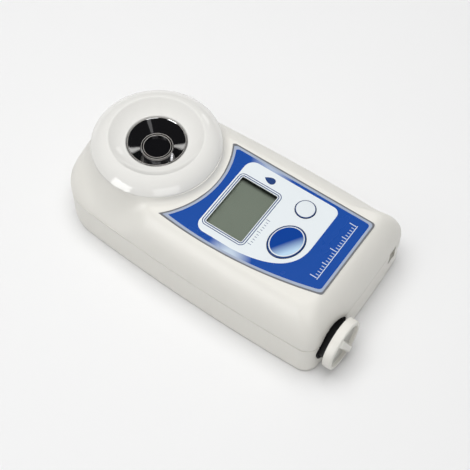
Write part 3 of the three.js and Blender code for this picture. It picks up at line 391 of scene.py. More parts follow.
class Plan:
    """The body's plan outline: two bowed sides, a round head, a nearly straight cap end, and corner arcs."""

    STEPS = (36, 30, 60, 34, 26)  # points on each arc of the right half
    CORNER_ZONE = 12  # the cap end's corner arcs are looked for this far along the body
    ROUNDS = 8  # rounds in which an inset inside those corners settles

    def __init__(self):
        b = values("refr_body")
        self.side = np.array([HALF_WIDTH - b.side_radius, CAP_END + b.widest]), b.side_radius
        self.head = np.array([0, HEAD_END - b.head_radius]), b.head_radius
        self.end = np.array([0, CAP_END + b.end_radius]), b.end_radius
        self.head_corner = corner_arc(self.side, self.head, b.head_corner, [HALF_WIDTH, HEAD_END])
        self.end_corner = corner_arc(self.side, self.end, b.end_corner, [HALF_WIDTH, CAP_END])

    def outline(self):
        """The right half from the cap end to the head as five arcs, then its mirror: one closed ring."""
        def bearing(arc, corner):
            x, y = corner[0] - arc[0]
            return math.atan2(y, x)
        turns = [
            -math.pi / 2, bearing(self.end, self.end_corner), bearing(self.side, self.end_corner),
            bearing(self.side, self.head_corner), bearing(self.head, self.head_corner), math.pi / 2]
        arcs = [self.end, self.end_corner, self.side, self.head_corner, self.head]
        half = np.vstack([
            arc_points(*centre, radius, start, stop, count + 1)[:-1]
            for (centre, radius), start, stop, count in zip(arcs, turns, turns[1:], self.STEPS)])
        return np.vstack([half, [[0, HEAD_END]], half[1:][::-1] * [-1, 1]])

    def inset(self, x, y):
        """How far a place lies inside the outline: the least distance to the big arcs, rounded at corners."""
        x = np.abs(x)
        side, head, end = (within(arc, x, y) for arc in (self.side, self.head, self.end))
        corner = self.head_corner[0]
        to_side, to_head = unit(corner - self.side[0]), unit(corner - self.head[0])
        u, v = x - corner[0], y - corner[1]
        inside = (to_side[0] * v - to_side[1] * u > 0) & (u * to_head[1] - v * to_head[0] > 0)
        least = np.minimum(np.minimum(side, head), end)
        least = np.where(inside, within(self.head_corner, x, y), least)
        corner, radius = self.end_corner
        cosine = float(unit(corner - self.end[0]) @ unit(corner - self.side[0]))
        sine = math.sqrt(1 - cosine * cosine)
        found = least
        for _ in range(self.ROUNDS):
            grown = radius + np.clip(found, 0, None)
            p, q = grown - side, grown - end
            near = (p - q * cosine > 0) & (q - p * cosine > 0) & (y < corner[1] + self.CORNER_ZONE)
            out = np.sqrt(np.clip(p * p + q * q - 2 * p * q * cosine, 0, None)) / sine
            found = np.where(near, grown - out, least)
        return found


def smooth_step(value, start, over):
    """0 up to start and 1 from start + over on, level at both ends: three times the share's square less twice
    its cube."""
    share = np.clip((value - start) / over, 0, 1)
    return share * share * (3 - 2 * share)


def softer_max(a, b, depth):
    """The larger of two values, with a soft blend where they are within depth of each other."""
    near = np.clip(depth - np.abs(a - b), 0, None) / depth
    return np.maximum(a, b) + near * near * depth / 4


def groove_edge(side):
    """Height of the upper (1) or lower (-1) edge of the groove between the cases."""
    b = values("refr_body")
    return b.parting + side * b.groove / 2


def crown_height(inset, width, power):
    """Height of the upper skin: a rounded profile whose powers of the two shares add up to one."""
    foot = groove_edge(1)
    share = np.clip(1 - inset / width, 0, 1)
    return foot + (DECK - foot) * (1 - share ** power) ** (1 / power)


def crown_inset(height):
    """The inset at which the cap end's crown has a height: the inverse of crown_height."""
    b, foot = values("refr_body"), groove_edge(1)
    share = np.clip((height - foot) / (DECK - foot), 0, 1)
    return b.crown * (1 - (1 - share ** b.crown_power) ** (1 / b.crown_power))


def crown_form(plan, x, y):
    """Width and power of the crown at a place: both go by smooth steps to the softer form of the right side
    and the head. The right side is where the right arc is nearer than the left one and the cap end."""
    b = values("refr_body")
    right, left, end = within(plan.side, x, y), within(plan.side, -x, y), within(plan.end, x, y)
    by_end, by_side, by_corner = (-2, 8), (-20, 40), (CAP_END - 4, 9)  # start and length of each smooth step
    at_right = smooth_step(end - right, *by_end) * smooth_step(left - right, *by_side)
    at_right = at_right * smooth_step(y, *by_corner)
    share = 1 - (1 - at_right) * (1 - smooth_step(y, b.soft_from, b.soft_over))
    width = b.crown + (b.right_crown - b.crown) * share
    return width, b.crown_power + (b.right_power - b.crown_power) * share


def with_collar(crown, radius):
    """The crown raised to the stage: a concave arc, steep at the stage and level where it meets the crown."""
    b = values("refr_body")
    share = np.clip(1 - (radius - DOME_RADIUS) / (b.fillet + b.fillet_growth * (DECK - crown)), 0, 1)
    sine, cosine = math.sin(b.collar_angle), math.cos(b.collar_angle)
    return crown + (b.collar_top - crown) * (1 - np.sqrt(1 - (share * sine) ** 2)) / (1 - cosine)


def by_length(points, count):
    """Each row of a grid of polylines with count points set evenly along its length."""
    step = np.linalg.norm(np.diff(points, axis=1), axis=2)
    run = np.concatenate([np.zeros((len(points), 1)), np.cumsum(step, axis=1)], axis=1)
    run /= run[:, -1:]
    wanted = np.linspace(0, 1, count)
    index = (run[:, None, :] <= wanted[None, :, None]).sum(axis=2) - 1
    index = np.clip(index, 0, points.shape[1] - 2)
    low, high = np.take_along_axis(run, index, 1), np.take_along_axis(run, index + 1, 1)
    share = ((wanted - low) / np.maximum(high - low, 1e-12))[..., None]
    first = np.take_along_axis(points, index[..., None], 1)
    second = np.take_along_axis(points, index[..., None] + 1, 1)
    return first + (second - first) * share


# Flat outlines

def film_edge(inset, count=40):
    """The film's outline moved inwards: a concave arc, a bowed left edge, a straight foot and right edge, and
    soft corners."""
    f = values("refr_film")
    right, left, bottom, foot = f.right - inset, -f.left + inset, inset - f.bottom, inset - f.foot
    arc, corner = f.arc + inset, f.corner
    start, stop = -math.acos((right - corner / 2) / arc), -math.acos(left / arc)
    top = arc_points(0, STAGE_Y + f.arc_place, arc, start, stop, count * 3)
    high = top[0][1]
    runs = [
        (top[-1], (inset - f.bow, -f.bow_place), (foot, bottom + corner), count * 2),
        ((foot, bottom + corner), (foot + corner / 3, bottom), (foot + corner, bottom), count // 2),
        ((right - corner, bottom), (right, bottom), (right, bottom + corner), count // 2),
        ((right, high - corner), (right, high - corner / 3), top[0], count // 2),
    ]
    bow, low_left, low_right, end = (
        curve(*(np.array(place) for place in places), np.linspace(0, 1, steps)[1:, None])
        for *places, steps in runs)
    return np.vstack([
        top, bow, low_left, [[right - corner, bottom]], low_right, [[right, high - corner]], end[:-1]])


def rounded(left, right, bottom, top, radius, count=12):
    """A rectangle with round corners, anticlockwise from its lower right corner."""
    quarter = np.pi / 2
    places = [
        (right, bottom, -1, 1, -1), (right, top, -1, -1, 0), (left, top, 1, -1, 1), (left, bottom, 1, 1, 2)]
    return np.vstack([
        arc_points(x + sx * radius, y + sy * radius, radius, turn * quarter, (turn + 1) * quarter, count)
        for x, y, sx, sy, turn in places])


def window_edge(margin):
    """The window's outline, moved outwards by a margin."""
    f = values("refr_film")
    corner, least = 0.7, 0.15
    return rounded(
        -f.window_left - margin, f.window_right + margin, -f.window_bottom - margin, -f.window_top + margin,
        max(corner + margin, least))


def oval(x, y, long, short, turn, count):
    """An ellipse's outline."""
    u, v = long * np.cos(around(count)), short * np.sin(around(count))
    return np.stack(turned(u, v, x, y, turn), axis=-1)


def key_place(key):
    """A key's centre, half length, half width and turn."""
    f = values("refr_film")
    if key == "start":
        return f.start_x, f.start_y, f.start_long, f.start_short, f.start_turn
    return f.zero_x, f.zero_y, f.zero_radius, f.zero_radius, 0


def key_edge(key, grow):
    """A key's outline, grown by a margin."""
    x, y, long, short, turn = key_place(key)
    return oval(x, y, long + grow, short + grow, turn, 96 if key == "start" else 72)


def inside_polygon(points, ring):
    """Whether points lie inside a closed ring: an odd number of its edges cross the ray to the right."""
    x, y = points[:, 0, None], points[:, 1, None]
    x0, y0 = ring[:, 0], ring[:, 1]
    x1, y1 = np.roll(x0, -1), np.roll(y0, -1)
    crosses = (y0 > y) != (y1 > y)
    at = x0 + (y - y0) * (x1 - x0) / np.where(y1 == y0, 1, y1 - y0)
    return (crosses & (x < at)).sum(axis=1) % 2 == 1


def filled(outer, holes):
    """Triangles that fill a flat outline and leave its holes open."""
    rings = [outer, *holes]
    starts = np.cumsum([0, *[len(ring) for ring in rings]])
    edges = [
        np.stack([np.arange(len(ring)), np.roll(np.arange(len(ring)), -1)], axis=-1) + start
        for ring, start in zip(rings, starts)]
    corners = [Vector(point) for point in np.vstack(rings)]
    made = delaunay_2d_cdt(corners, np.vstack(edges).tolist(), [], 1, 1e-6)
    flat = np.array([tuple(corner) for corner in made[0]])
    triangles = np.array([list(face) for face in made[2]])
    middle = flat[triangles].mean(axis=1)
    keep = inside_polygon(middle, outer)
    for hole in holes:
        keep &= ~inside_polygon(middle, hole)
    triangles = triangles[keep]
    a, b, c = (flat[triangles[:, i]] for i in range(3))
    clockwise = (b[:, 0] - a[:, 0]) * (c[:, 1] - a[:, 1]) < (b[:, 1] - a[:, 1]) * (c[:, 0] - a[:, 0])
    triangles[clockwise] = triangles[clockwise][:, ::-1]
    return flat, triangles


def sheet_part(outer, holes, height, index):
    """A flat area as a part for joined()."""
    flat, triangles = filled(outer, holes)
    return at_height(flat, height), triangles, index


def wall_part(ring, top, bottom, index):
    """An upright wall of triangles along a closed ring, as a part for joined()."""
    points = np.vstack([at_height(ring, top), at_height(ring, bottom)])
    return points, split_quads(grid_faces(2, len(ring))), index


def flipped(part):
    """A part for joined() with its faces turned over."""
    points, faces, index = part
    return points, faces[:, ::-1], index


# Materials

def node(tree, kind, **settings):
    """A shader node of a kind, with its inputs set: after a leading in_ comes an input's number, or its name
    with underscores for blanks."""
    made = tree.nodes.new(kind if kind.startswith("Node") else "ShaderNode" + kind)
    for key, value in settings.items():
        if key.startswith("in_"):
            key = key[3:]
            made.inputs[int(key) if key.isdigit() else key.replace("_", " ")].default_value = value
        else:
            setattr(made, key, value)
    return made


def wire(tree, *links):
    """Links, each given as a source node, its output, a target node and its input."""
    for source, output, target, entry in links:
        tree.links.new(source.outputs[output], target.inputs[entry])


def grain_group():
    """Moulded grain: a fine noise as a bump, and a soft noise that varies colour and roughness a little."""
    group = bpy.data.node_groups.get("moulded grain")
    if group:
        return group
    group = bpy.data.node_groups.new("moulded grain", "ShaderNodeTree")
    sockets = [
        ("Colour", "Color", (0.8, 0.8, 0.8, 1)), ("Shade", "Float", 0.03), ("Roughness", "Float", 0.5),
        ("Spread", "Float", 0.05), ("Grain", "Float", 3000.0), ("Depth", "Float", 0.05),
        ("Colour", "Color", None), ("Roughness", "Float", None), ("Normal", "Vector", None),
    ]
    for name, kind, default in sockets:
        direction = "OUTPUT" if default is None else "INPUT"
        made = group.interface.new_socket(name=name, in_out=direction, socket_type="NodeSocket" + kind)
        if default is not None:
            made.default_value = default
    source, sink = node(group, "NodeGroupInput"), node(group, "NodeGroupOutput")
    place = node(group, "TexCoord")
    soft = node(group, "TexNoise", in_Scale=45.0, in_Detail=3.0, in_Roughness=0.6)
    fine = node(group, "TexNoise", in_Detail=2.0, in_Roughness=0.5)
    shade = node(group, "Math", operation="MULTIPLY_ADD", in_2=1.0)
    centred = node(group, "Math", operation="SUBTRACT", in_1=0.5)
    tint = node(group, "VectorMath", operation="SCALE")
    rough = node(group, "Math", operation="MULTIPLY_ADD", use_clamp=True)
    bump = node(group, "Bump", in_Distance=0.0001)
    wire(
        group, (place, "Object", soft, "Vector"), (place, "Object", fine, "Vector"),
        (source, "Grain", fine, "Scale"), (soft, 0, centred, 0), (centred, 0, shade, 0),
        (source, "Shade", shade, 1), (source, "Colour", tint, 0), (shade, 0, tint, "Scale"),
        (centred, 0, rough, 0), (source, "Spread", rough, 1), (source, "Roughness", rough, 2),
        (fine, 0, bump, "Height"), (source, "Depth", bump, "Strength"))
    for output, name in ((tint, "Colour"), (rough, "Roughness"), (bump, "Normal")):
        wire(group, (output, 0, sink, name))
    return group


def new_material(name):
    """A material with nothing in its node tree but the output."""
    made = bpy.data.materials.new(name)
    made.use_nodes = True
    made.node_tree.nodes.clear()
    return made, made.node_tree, node(made.node_tree, "OutputMaterial")


def add_grain(tree, surface, colour_input, tone, rough, shade, spread, grain, depth):
    """The moulded grain, feeding a shader's colour, roughness and normal."""
    made = node(
        tree, "Group", node_tree=grain_group(), in_Colour=(*tone, 1), in_Shade=shade,
        in_Roughness=rough, in_Spread=spread, in_Grain=grain, in_Depth=depth)
    for name, target in (("Colour", colour_input), ("Roughness", "Roughness"), ("Normal", "Normal")):
        wire(tree, (made, name, surface, target))
    return made


def finish_material(
        name, base, rough, shade=0.03, spread=0.05, grain=3000.0, depth=0.05, metal=0.0, tint=None, **shader):
    """A solid finish: the moulded grain feeds one Principled shader. tint makes its colour from the object's
    places; further settings are inputs of the shader, with underscores for blanks."""
    if name in bpy.data.materials:
        return bpy.data.materials[name]
    made, tree, out = new_material(name)
    made.diffuse_color = (*base, 1)
    surface = node(tree, "BsdfPrincipled", in_Metallic=metal)
    for key, value in shader.items():
        surface.inputs[key.replace("_", " ")].default_value = value
    grained = add_grain(tree, surface, "Base Color", base, rough, shade, spread, grain, depth)
    if tint:
        tree.links.new(tint(tree), grained.inputs["Colour"])
    wire(tree, (surface, 0, out, "Surface"))
    return made


def clear_material(name, tone, rough):
    """Clear plastic or glass: see-through, with a reflection that grows towards grazing angles, and none on
    faces that are seen from inside."""
    if name in bpy.data.materials:
        return bpy.data.materials[name]
    made, tree, out = new_material(name)
    through = node(tree, "BsdfTransparent", in_Color=(*tone, 1))
    shine = node(tree, "BsdfGlossy")
    add_grain(tree, shine, "Color", (1, 1, 1), rough, 0.02, 0.02, 900.0, 0.0)
    edge = node(tree, "Fresnel", in_IOR=1.45)
    facing = node(tree, "NewGeometry")
    front = node(tree, "Math", operation="SUBTRACT", in_0=1.0)
    shown = node(tree, "Math", operation="MULTIPLY")
    mix = node(tree, "MixShader")
    wire(
        tree, (facing, "Backfacing", front, 1), (edge, 0, shown, 0), (front, 0, shown, 1),
        (shown, 0, mix, 0), (through, 0, mix, 1), (shine, 0, mix, 2), (mix, 0, out, "Surface"))
    return made


def ramp_of(tree, value, stops):
    """A colour ramp of (place, colour) stops, fed by a value; a single number is a grey."""
    ramp = node(tree, "ValToRGB")
    while len(ramp.color_ramp.elements) < len(stops):
        ramp.color_ramp.elements.new(0.5)
    for element, (place, tone) in zip(ramp.color_ramp.elements, stops):
        element.position = place
        element.color = (*((tone,) * 3 if isinstance(tone, (int, float)) else tone), 1)
    tree.links.new(value, ramp.inputs[0])
    return ramp.outputs[0]


def mapped(tree, x, y, size, turn):
    """The object's places measured from x, y along turned axes, as shares of size."""
    place = node(tree, "TexCoord")
    made = node(
        tree, "Mapping", vector_type="TEXTURE", in_Location=(x * MM, y * MM, 0),
        in_Rotation=(0, 0, turn), in_Scale=size)
    wire(tree, (place, "Object", made, 0))
    return made.outputs[0]


def spot(tree, x, y, long, short, turn):
    """How far the object's place is from an oval spot: 0 in its middle, 1 at its edge and beyond."""
    distance = node(tree, "VectorMath", operation="LENGTH")
    tree.links.new(mapped(tree, x, y, (long * MM, short * MM, 1000), turn), distance.inputs[0])
    return distance.outputs["Value"]


def along_tint(first, second, x, y, turn, half):
    """A blend from one colour to another along a direction through a place."""
    begins, ends = 0.52, 0.86

    def made(tree):
        split = node(tree, "SeparateXYZ")
        centred = node(tree, "Math", operation="ADD", in_1=0.5)
        tree.links.new(mapped(tree, x, y, (2 * half * MM, 1, 1), turn), split.inputs[0])
        wire(tree, (split, 0, centred, 0))
        return ramp_of(tree, centred.outputs[0], [(begins, first), (ends, second)])

    return made


def mixed(tree, share, first, second):
    """A mix of two colours, each an output or a plain colour, by an output."""
    mix = node(tree, "Mix", data_type="RGBA")
    tree.links.new(share, mix.inputs[0])
    for target, tone in ((mix.inputs[6], first), (mix.inputs[7], second)):
        if isinstance(tone, bpy.types.NodeSocket):
            tree.links.new(tone, target)
        else:
            target.default_value = (*tone, 1)
    return mix.outputs[2]


def field_tint(tree):
    """Blue field that fades to pale at the middle of its left and right bands: each fade is an oval spot, the
    radius of its even middle, and its strength there."""
    c = values("refr_colours")
    fades = [((-20.0, -14.0, 9.0, 7.5, 0.25), 0.25, 1.0), ((15.0, -7.5, 5.5, 8.0, 0.0), 0.2, 0.8)]
    both = node(tree, "Math", operation="MAXIMUM")
    for target, (place, middle, strength) in zip(both.inputs, fades):
        tree.links.new(ramp_of(tree, spot(tree, *place), [(middle, strength), (1.0, 0)]), target)
    return mixed(tree, both.outputs[0], c.blue, c.fade)


def shell_material():
    """Matte moulded plastic of the cases and the cap."""
    return finish_material(
        "matte shell", values("refr_colours").shell, 0.42, shade=0.02, grain=5200.0, depth=0.06)


def steel_material():
    """Mirror-polished steel of the well, with faint turning marks about the stage's axis."""
    made = finish_material(
        "polished well", (0.62, 0.62, 0.63), 0.05, shade=0.02, spread=0.03, grain=900.0, depth=0.01,
        metal=1.0)
    tree = made.node_tree
    if "turning" not in tree.nodes:
        surface = next(n for n in tree.nodes if n.type == "BSDF_PRINCIPLED")
        grained = next(n for n in tree.nodes if n.type == "GROUP")
        marks = node(tree, "Math", operation="MULTIPLY", in_1=58.0)
        wave = node(tree, "Math", operation="SINE", name="turning")
        bump = node(tree, "Bump", in_Strength=0.02, in_Distance=0.00002)
        tree.links.new(spot(tree, 0, STAGE_Y, 1, 1, 0), marks.inputs[0])
        wire(
            tree, (marks, 0, wave, 0), (wave, 0, bump, "Height"), (grained, "Normal", bump, "Normal"),
            (bump, 0, surface, "Normal"))
    return made


def painted_shadow_material(name="shadowed cavity", tone=0.02):
    """Inner walls painted near black: painted shadow inside holes, gaps and recesses."""
    return finish_material(name, (tone, tone, tone * 1.05), 0.6, grain=2500.0)


# Pieces of the case

WELL_ZONE = 8  # how far in from the cap end the skins are cut open for the cap
FAR = 99  # a distance that no cut reaches


def snapped(points, distance, band, direction):
    """Moves points within a band of a cut onto it: distance is signed and grows along direction."""
    near = np.abs(distance) < band
    return points - np.where(near, distance, 0)[..., None] * direction


def from_cap(points):
    """How far points lie from the cap's axis, and the direction away from it."""
    away = (points - [CAP_X, 0, CAP_Z]) * [1, 0, 1]
    distance = np.hypot(away[..., 0], away[..., 2])
    return distance, away / np.maximum(distance, 1e-6)[..., None]


def snapped_to_well(grid, band):
    """A skin's grid with the points near the rim of the cap's well moved onto it."""
    distance, away = from_cap(grid)
    at_end = grid[..., 1] < CAP_END + WELL_ZONE
    return snapped(grid, np.where(at_end, distance - values("refr_cap").well, FAR), band, away)


def outside_well(flat, faces):
    """Which faces of a skin reach out of the cap's well."""
    inside = (from_cap(flat)[0] < values("refr_cap").well + 0.02) & (flat[:, 1] < CAP_END + WELL_ZONE)
    return ~inside[faces].all(axis=1)


def build_upper_shell():
    """Radial lines from the outline to the stage, with points set evenly along them: their height is the
    crown's, which depends on the inset, raised to the collar, which depends on the distance to the stage."""
    fine, even, crowding = 420, 116, 0.95
    lip_in, lip_back, lip_rise, lip_round, seam_drop = 0.22, 1.6, 0.18, 0.3, 0.3
    window_play, key_play, wall_in, well_band = 0.75, 0.55, 0.15, 0.42
    under_deck, under_glass, key_depth = 0.03, 0.4, 2.2
    plan, foot = Plan(), groove_edge(1)
    ring = plan.outline()
    offset = ring - [0, STAGE_Y]
    outer = np.linalg.norm(offset, axis=1)
    direction = offset / outer[:, None]
    share = np.linspace(0, 1, fine)
    share = share - np.sin(2 * np.pi * share) / (2 * np.pi) * crowding
    inner = DOME_RADIUS + 0.01
    radius = inner + (outer - inner)[:, None] * (1 - share)
    x, y = radius * direction[:, 0, None], STAGE_Y + radius * direction[:, 1, None]
    inset = plan.inset(x, y)
    inset[:, 0] = 0
    height = with_collar(crown_height(inset, *crown_form(plan, x, y)), radius)
    height[:, 0] = foot
    lines = by_length(np.stack([x, y, height], axis=-1), even)
    lines[:, 0, 2] = foot + lip_rise
    lines[:, 1, 2] = np.maximum(lines[:, 1, 2], foot + lip_round)
    lips = [at_height(pulled(ring, amount), foot)[:, None] for amount in (lip_back, lip_in)]
    seam = lines[:, -1:] - [0, 0, seam_drop]
    grid = np.concatenate([*lips, lines, seam], axis=1).transpose(1, 0, 2)
    grid = snapped_to_well(grid, well_band)
    flat, faces = grid.reshape(-1, 3), grid_faces(*grid.shape[:2])
    keep = outside_well(flat, faces)
    middle = flat[faces].mean(axis=1)[:, :2]
    for hole in (window_edge(window_play), key_edge("start", key_play), key_edge("zero", key_play)):
        keep &= ~inside_polygon(middle, hole)
    put("upper_shell", flat, faces[keep], "housing", "shell", ["upper_case"], [shell_material()])
    top = DECK - under_deck
    points, faces, _ = joined([
        wall_part(window_edge(window_play + wall_in), top, GLASS_TOP - under_glass, 0),
        wall_part(key_edge("start", key_play + wall_in), top, DECK - key_depth, 0),
        wall_part(key_edge("zero", key_play + wall_in), top, DECK - key_depth, 0),
    ])
    # The walls of the window and key holes are painted near black: painted shadow inside the holes.
    put("upper_shell_wells", points, faces, "housing", "shell", (), [painted_shadow_material()])


def lower_inset(height):
    """How far the lower skin lies inside the outline at a height: a slight draft and a round base edge."""
    b = values("refr_body")
    lean = b.draft * (1 - np.clip(height / groove_edge(-1), 0, 1))
    low = np.clip(1 - height / b.base_edge, 0, 1)
    return lean + b.base_edge * (1 - np.sqrt(1 - low * low))


def strap_opening():
    """The left and right sides of the strap mouth, and the front and back of the opening in the side."""
    c = values("refr_cap")
    front = CAP_END + c.pillar
    return c.mouth_left, c.mouth_left + c.mouth_width, front, front + c.passage


def build_lower_shell():
    """The outline pulled in by the draft and the base edge at each height, with the strap's openings cut out;
    the base is filled flat round its screw recesses."""
    end_depth, end_from, side_from, side_before = 1.2, 5, 20, -40
    screw_radius, screw_depth = 2.4, 3.0
    well_band, end_band, side_band = 0.36, 0.3, 0.115
    b, c = values("refr_body"), values("refr_cap")
    ring, top = Plan().outline(), groove_edge(-1)
    heights = np.concatenate([
        b.base_edge * (1 - np.cos(np.linspace(0, np.pi / 2, 9))), np.linspace(b.base_edge, c.mouth_low, 13),
        np.linspace(c.mouth_low, c.mouth_high, 12), [top - 0.12]])
    levels = [(float(lower_inset(height)), height) for height in np.unique(np.round(heights, 6))]
    levels += [(0.2, top), (0.33, top), (0.35, b.parting + b.groove)]
    grid = np.stack([at_height(pulled(ring, inset), height) for inset, height in levels])
    grid = snapped_to_well(grid, well_band)
    left, right, front, back = strap_opening()
    on_end = (grid[..., 1] < CAP_END + end_depth) & (grid[..., 0] > end_from)
    on_side = (grid[..., 0] > side_from) & (grid[..., 1] < side_before)
    for place in (left, right):
        grid = snapped(grid, np.where(on_end, grid[..., 0] - place, FAR), end_band, np.array([1.0, 0, 0]))
    along = np.roll(ring, -1, axis=0) - np.roll(ring, 1, axis=0)
    along = np.c_[along / np.where(np.abs(along[:, 1:]) < 0.1, 1.0, along[:, 1:]), np.zeros(len(ring))]
    for place in (front, back):
        grid = snapped(grid, np.where(on_side, grid[..., 1] - place, FAR), side_band, along)
    flat, faces = grid.reshape(-1, 3), grid_faces(*grid.shape[:2])
    x, y, z = flat[faces].mean(axis=1).T
    at_mouth = (x > left) & (x < right) & (y < CAP_END + end_depth)
    at_side = (x > side_from) & (y > front) & (y < back)
    cut = (z > c.mouth_low) & (z < c.mouth_high) & (at_mouth | at_side)
    skin = split_quads(faces[outside_well(flat, faces) & ~cut])
    holes, parts = [], [(flat, skin, 0)]
    for screw in range(1, 5):
        low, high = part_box(f"case_screw_{screw}")
        x, y = ((low[axis] + high[axis]) / 2 / MM for axis in (0, 1))
        hole = oval(x, y, screw_radius, screw_radius, 0, 48)
        holes.append(hole)
        parts += [flipped(wall_part(hole, 0, screw_depth, 0)), flipped(sheet_part(hole, (), screw_depth, 0))]
    parts.append(flipped(sheet_part(pulled(ring, float(lower_inset(0.0))), holes, 0.0, 0)))
    points, faces, _ = joined(parts)
    put("lower_shell", points, faces, "housing", "shell", ["lower_case"], [shell_material()])


def build_case_seal():
    """The rubber seal between the cases: a square cord along the outline, inside the walls."""
    b, ring = values("refr_body"), Plan().outline()
    outer, inner, half = b.seal_outer, b.seal_inner, b.seal_half
    corners = [(outer, -half), (outer, half), (inner, half), (inner, -half), (outer, -half)]
    grid = np.stack([at_height(pulled(ring, inset), b.parting + rise) for inset, rise in corners])
    put("case_seal", grid, grid_faces(*grid.shape[:2]), "housing", "grey_rubber", ["case_gasket"],
        [inside_material("grey_rubber")])


def build_end_wells():
    """The shallow well and neck hole behind the cap, and the strap passage round the corner pillar."""
    wall_in, side_in = 0.2, 0.4
    c, plan = values("refr_cap"), Plan()
    floor = CAP_END + c.well_depth
    profile = [(c.well, CAP_END - 0.05), (c.well, floor), (c.neck_hole, floor), (c.neck_hole, CAP_END + 9)]
    points, faces = lathe(profile, (CAP_X, CAP_Z), 96, upright=False)
    x, _, z = points.T
    (_, end_y), end_radius = plan.end
    inset = np.where(z > groove_edge(1), crown_inset(z), lower_inset(z))
    points[:, 1] = np.maximum(points[:, 1], end_y - np.sqrt((end_radius - inset) ** 2 - x ** 2) + 0.02)
    # The well behind the cap is painted near black: painted shadow in the gap behind the cap.
    put("cap_well", points, faces[:, ::-1], "housing", "shell", (), [painted_shadow_material("cap gap", 0.012)])
    left, right, front, back = strap_opening()
    (corner_x, corner_y), corner_radius = plan.end_corner

    def skin_y(x):
        return end_y - math.sqrt((end_radius - wall_in) ** 2 - x * x)

    def skin_x(y):
        if y >= corner_y:
            return HALF_WIDTH - side_in
        return corner_x + math.sqrt((corner_radius - wall_in) ** 2 - (y - corner_y) ** 2)

    opening = [[skin_x(y), y] for y in np.linspace(back, front, 9)]
    ring = np.array([
        [left, skin_y(left)], [left, back], *opening, [right, front], [right, skin_y(right)]])
    points, triangles, _ = wall_part(ring, c.mouth_high, c.mouth_low, 0)
    count = len(ring)
    closed = np.r_[0:2, len(opening) + 1:count - 1]
    points, faces, _ = joined([
        (points, triangles[np.r_[closed, closed + count]], 0),
        sheet_part(ring, (), c.mouth_low, 0),
        flipped(sheet_part(ring, (), c.mouth_high, 0)),
    ])
    put("strap_passage", points, faces, "housing", "shell", (), [shell_material()], smooth=False)


# Stage, film and keys

STAGE_STEPS = 224


def build_stage():
    """The stage: a flank whose slope falls evenly from the collar to the crest, a small curve over the crest,
    and a slightly hollow cone to the bore. The dish: a rim with a soft edge, a funnel, and raised rings."""
    s, edge = values("refr_stage"), values("refr_body").collar_top
    bead_steps, lip_drop, soft_edge = 9, 1.4, 0.2
    slope = np.linspace(s.low_slope, s.high_slope, 49)
    step = np.stack([-np.cos(slope), np.sin(slope)], axis=-1)
    run = np.vstack([[0, 0], np.cumsum((step[1:] + step[:-1]) / 2, axis=0)])
    flank = run / np.abs(run[-1]) * [DOME_RADIUS - s.crest_radius, CREST - edge] + [DOME_RADIUS, edge]
    peak, bore, bore_top = np.array([s.crest_radius, CREST]), DISH_RADIUS + s.bore, DISH_TOP + 0.05
    share = np.linspace(0, 1, 44)[:, None]
    cone = peak * (1 - share) + np.array([bore + 0.15, bore_top + 0.12]) * share
    cone[:, 1] -= s.cone_bow * 4 * (share * (1 - share))[:, 0]
    flank = flank[flank[:, 0] > s.crest_radius + s.crest_round]
    cone = cone[cone[:, 0] < s.crest_radius - s.crest_round]
    crest = curve(flank[-1], peak, cone[0], np.linspace(0, 1, 11)[1:-1, None])
    foot = [
        (DOME_RADIUS - 1.0, edge - 0.5), (DOME_RADIUS - 0.06, edge - 0.5), (DOME_RADIUS - 0.04, edge - 0.06)]
    neck = [(bore, bore_top), (bore, bore_top - 1.5), (bore - 1.2, bore_top - 1.6)]
    gloss = finish_material(
        "gloss stage", values("refr_colours").gloss, 0.045, shade=0.012, spread=0.02, grain=60.0, depth=0.01)
    put("stage_ring", *lathe(np.vstack([foot, flank, crest, cone, neck]), (0, STAGE_Y), STAGE_STEPS),
        "housing", "gloss_shell", ["stage_dome"], [gloss])

    def bead(middle, height):
        return arc_points(middle, height, s.bead, 0, np.pi, bead_steps)

    rim, floor = DISH_RADIUS - s.rim, DISH_TOP - s.funnel_depth
    share = np.linspace(0, 1, 30)[1:]
    runs = [
        [(DISH_RADIUS - 1.0, DISH_TOP - lip_drop), (DISH_RADIUS, DISH_TOP - lip_drop),
         (DISH_RADIUS, DISH_TOP - soft_edge)],
        arc_points(DISH_RADIUS - soft_edge, DISH_TOP - soft_edge, soft_edge, 0, np.pi / 2, 6),
        bead(rim + s.bead, DISH_TOP),
        np.c_[rim + (s.funnel_radius - rim) * share, DISH_TOP - s.funnel_depth * share ** s.funnel_power],
        bead(s.funnel_radius - 0.2, floor),
        bead(s.window + 0.2, floor),
        [(s.window, floor - 0.1), (s.window, floor - 0.85), (s.window + 1.2, floor - 0.86)],
    ]
    points, faces = lathe(np.vstack(runs), (0, STAGE_Y), STAGE_STEPS)
    starts = np.cumsum([0, *[len(run) for run in runs]])
    # The thin raised rings take a pale satin finish lit by diffuse light: real metal beads with a painted
    # reflection.
    glint_rings = np.zeros(starts[-1] - 1, np.int32)
    for place in (2, 4, 5):
        glint_rings[starts[place]:starts[place] + bead_steps - 1] = 1
    painted_glint_metal = finish_material("bright edge", (0.5, 0.48, 0.45), 0.35, shade=0.1, grain=1500.0, metal=0.2)
    put("well_dish", points, faces, "housing", "polished_steel", ["sample_dish"],
        [steel_material(), painted_glint_metal], np.repeat(glint_rings, STAGE_STEPS))


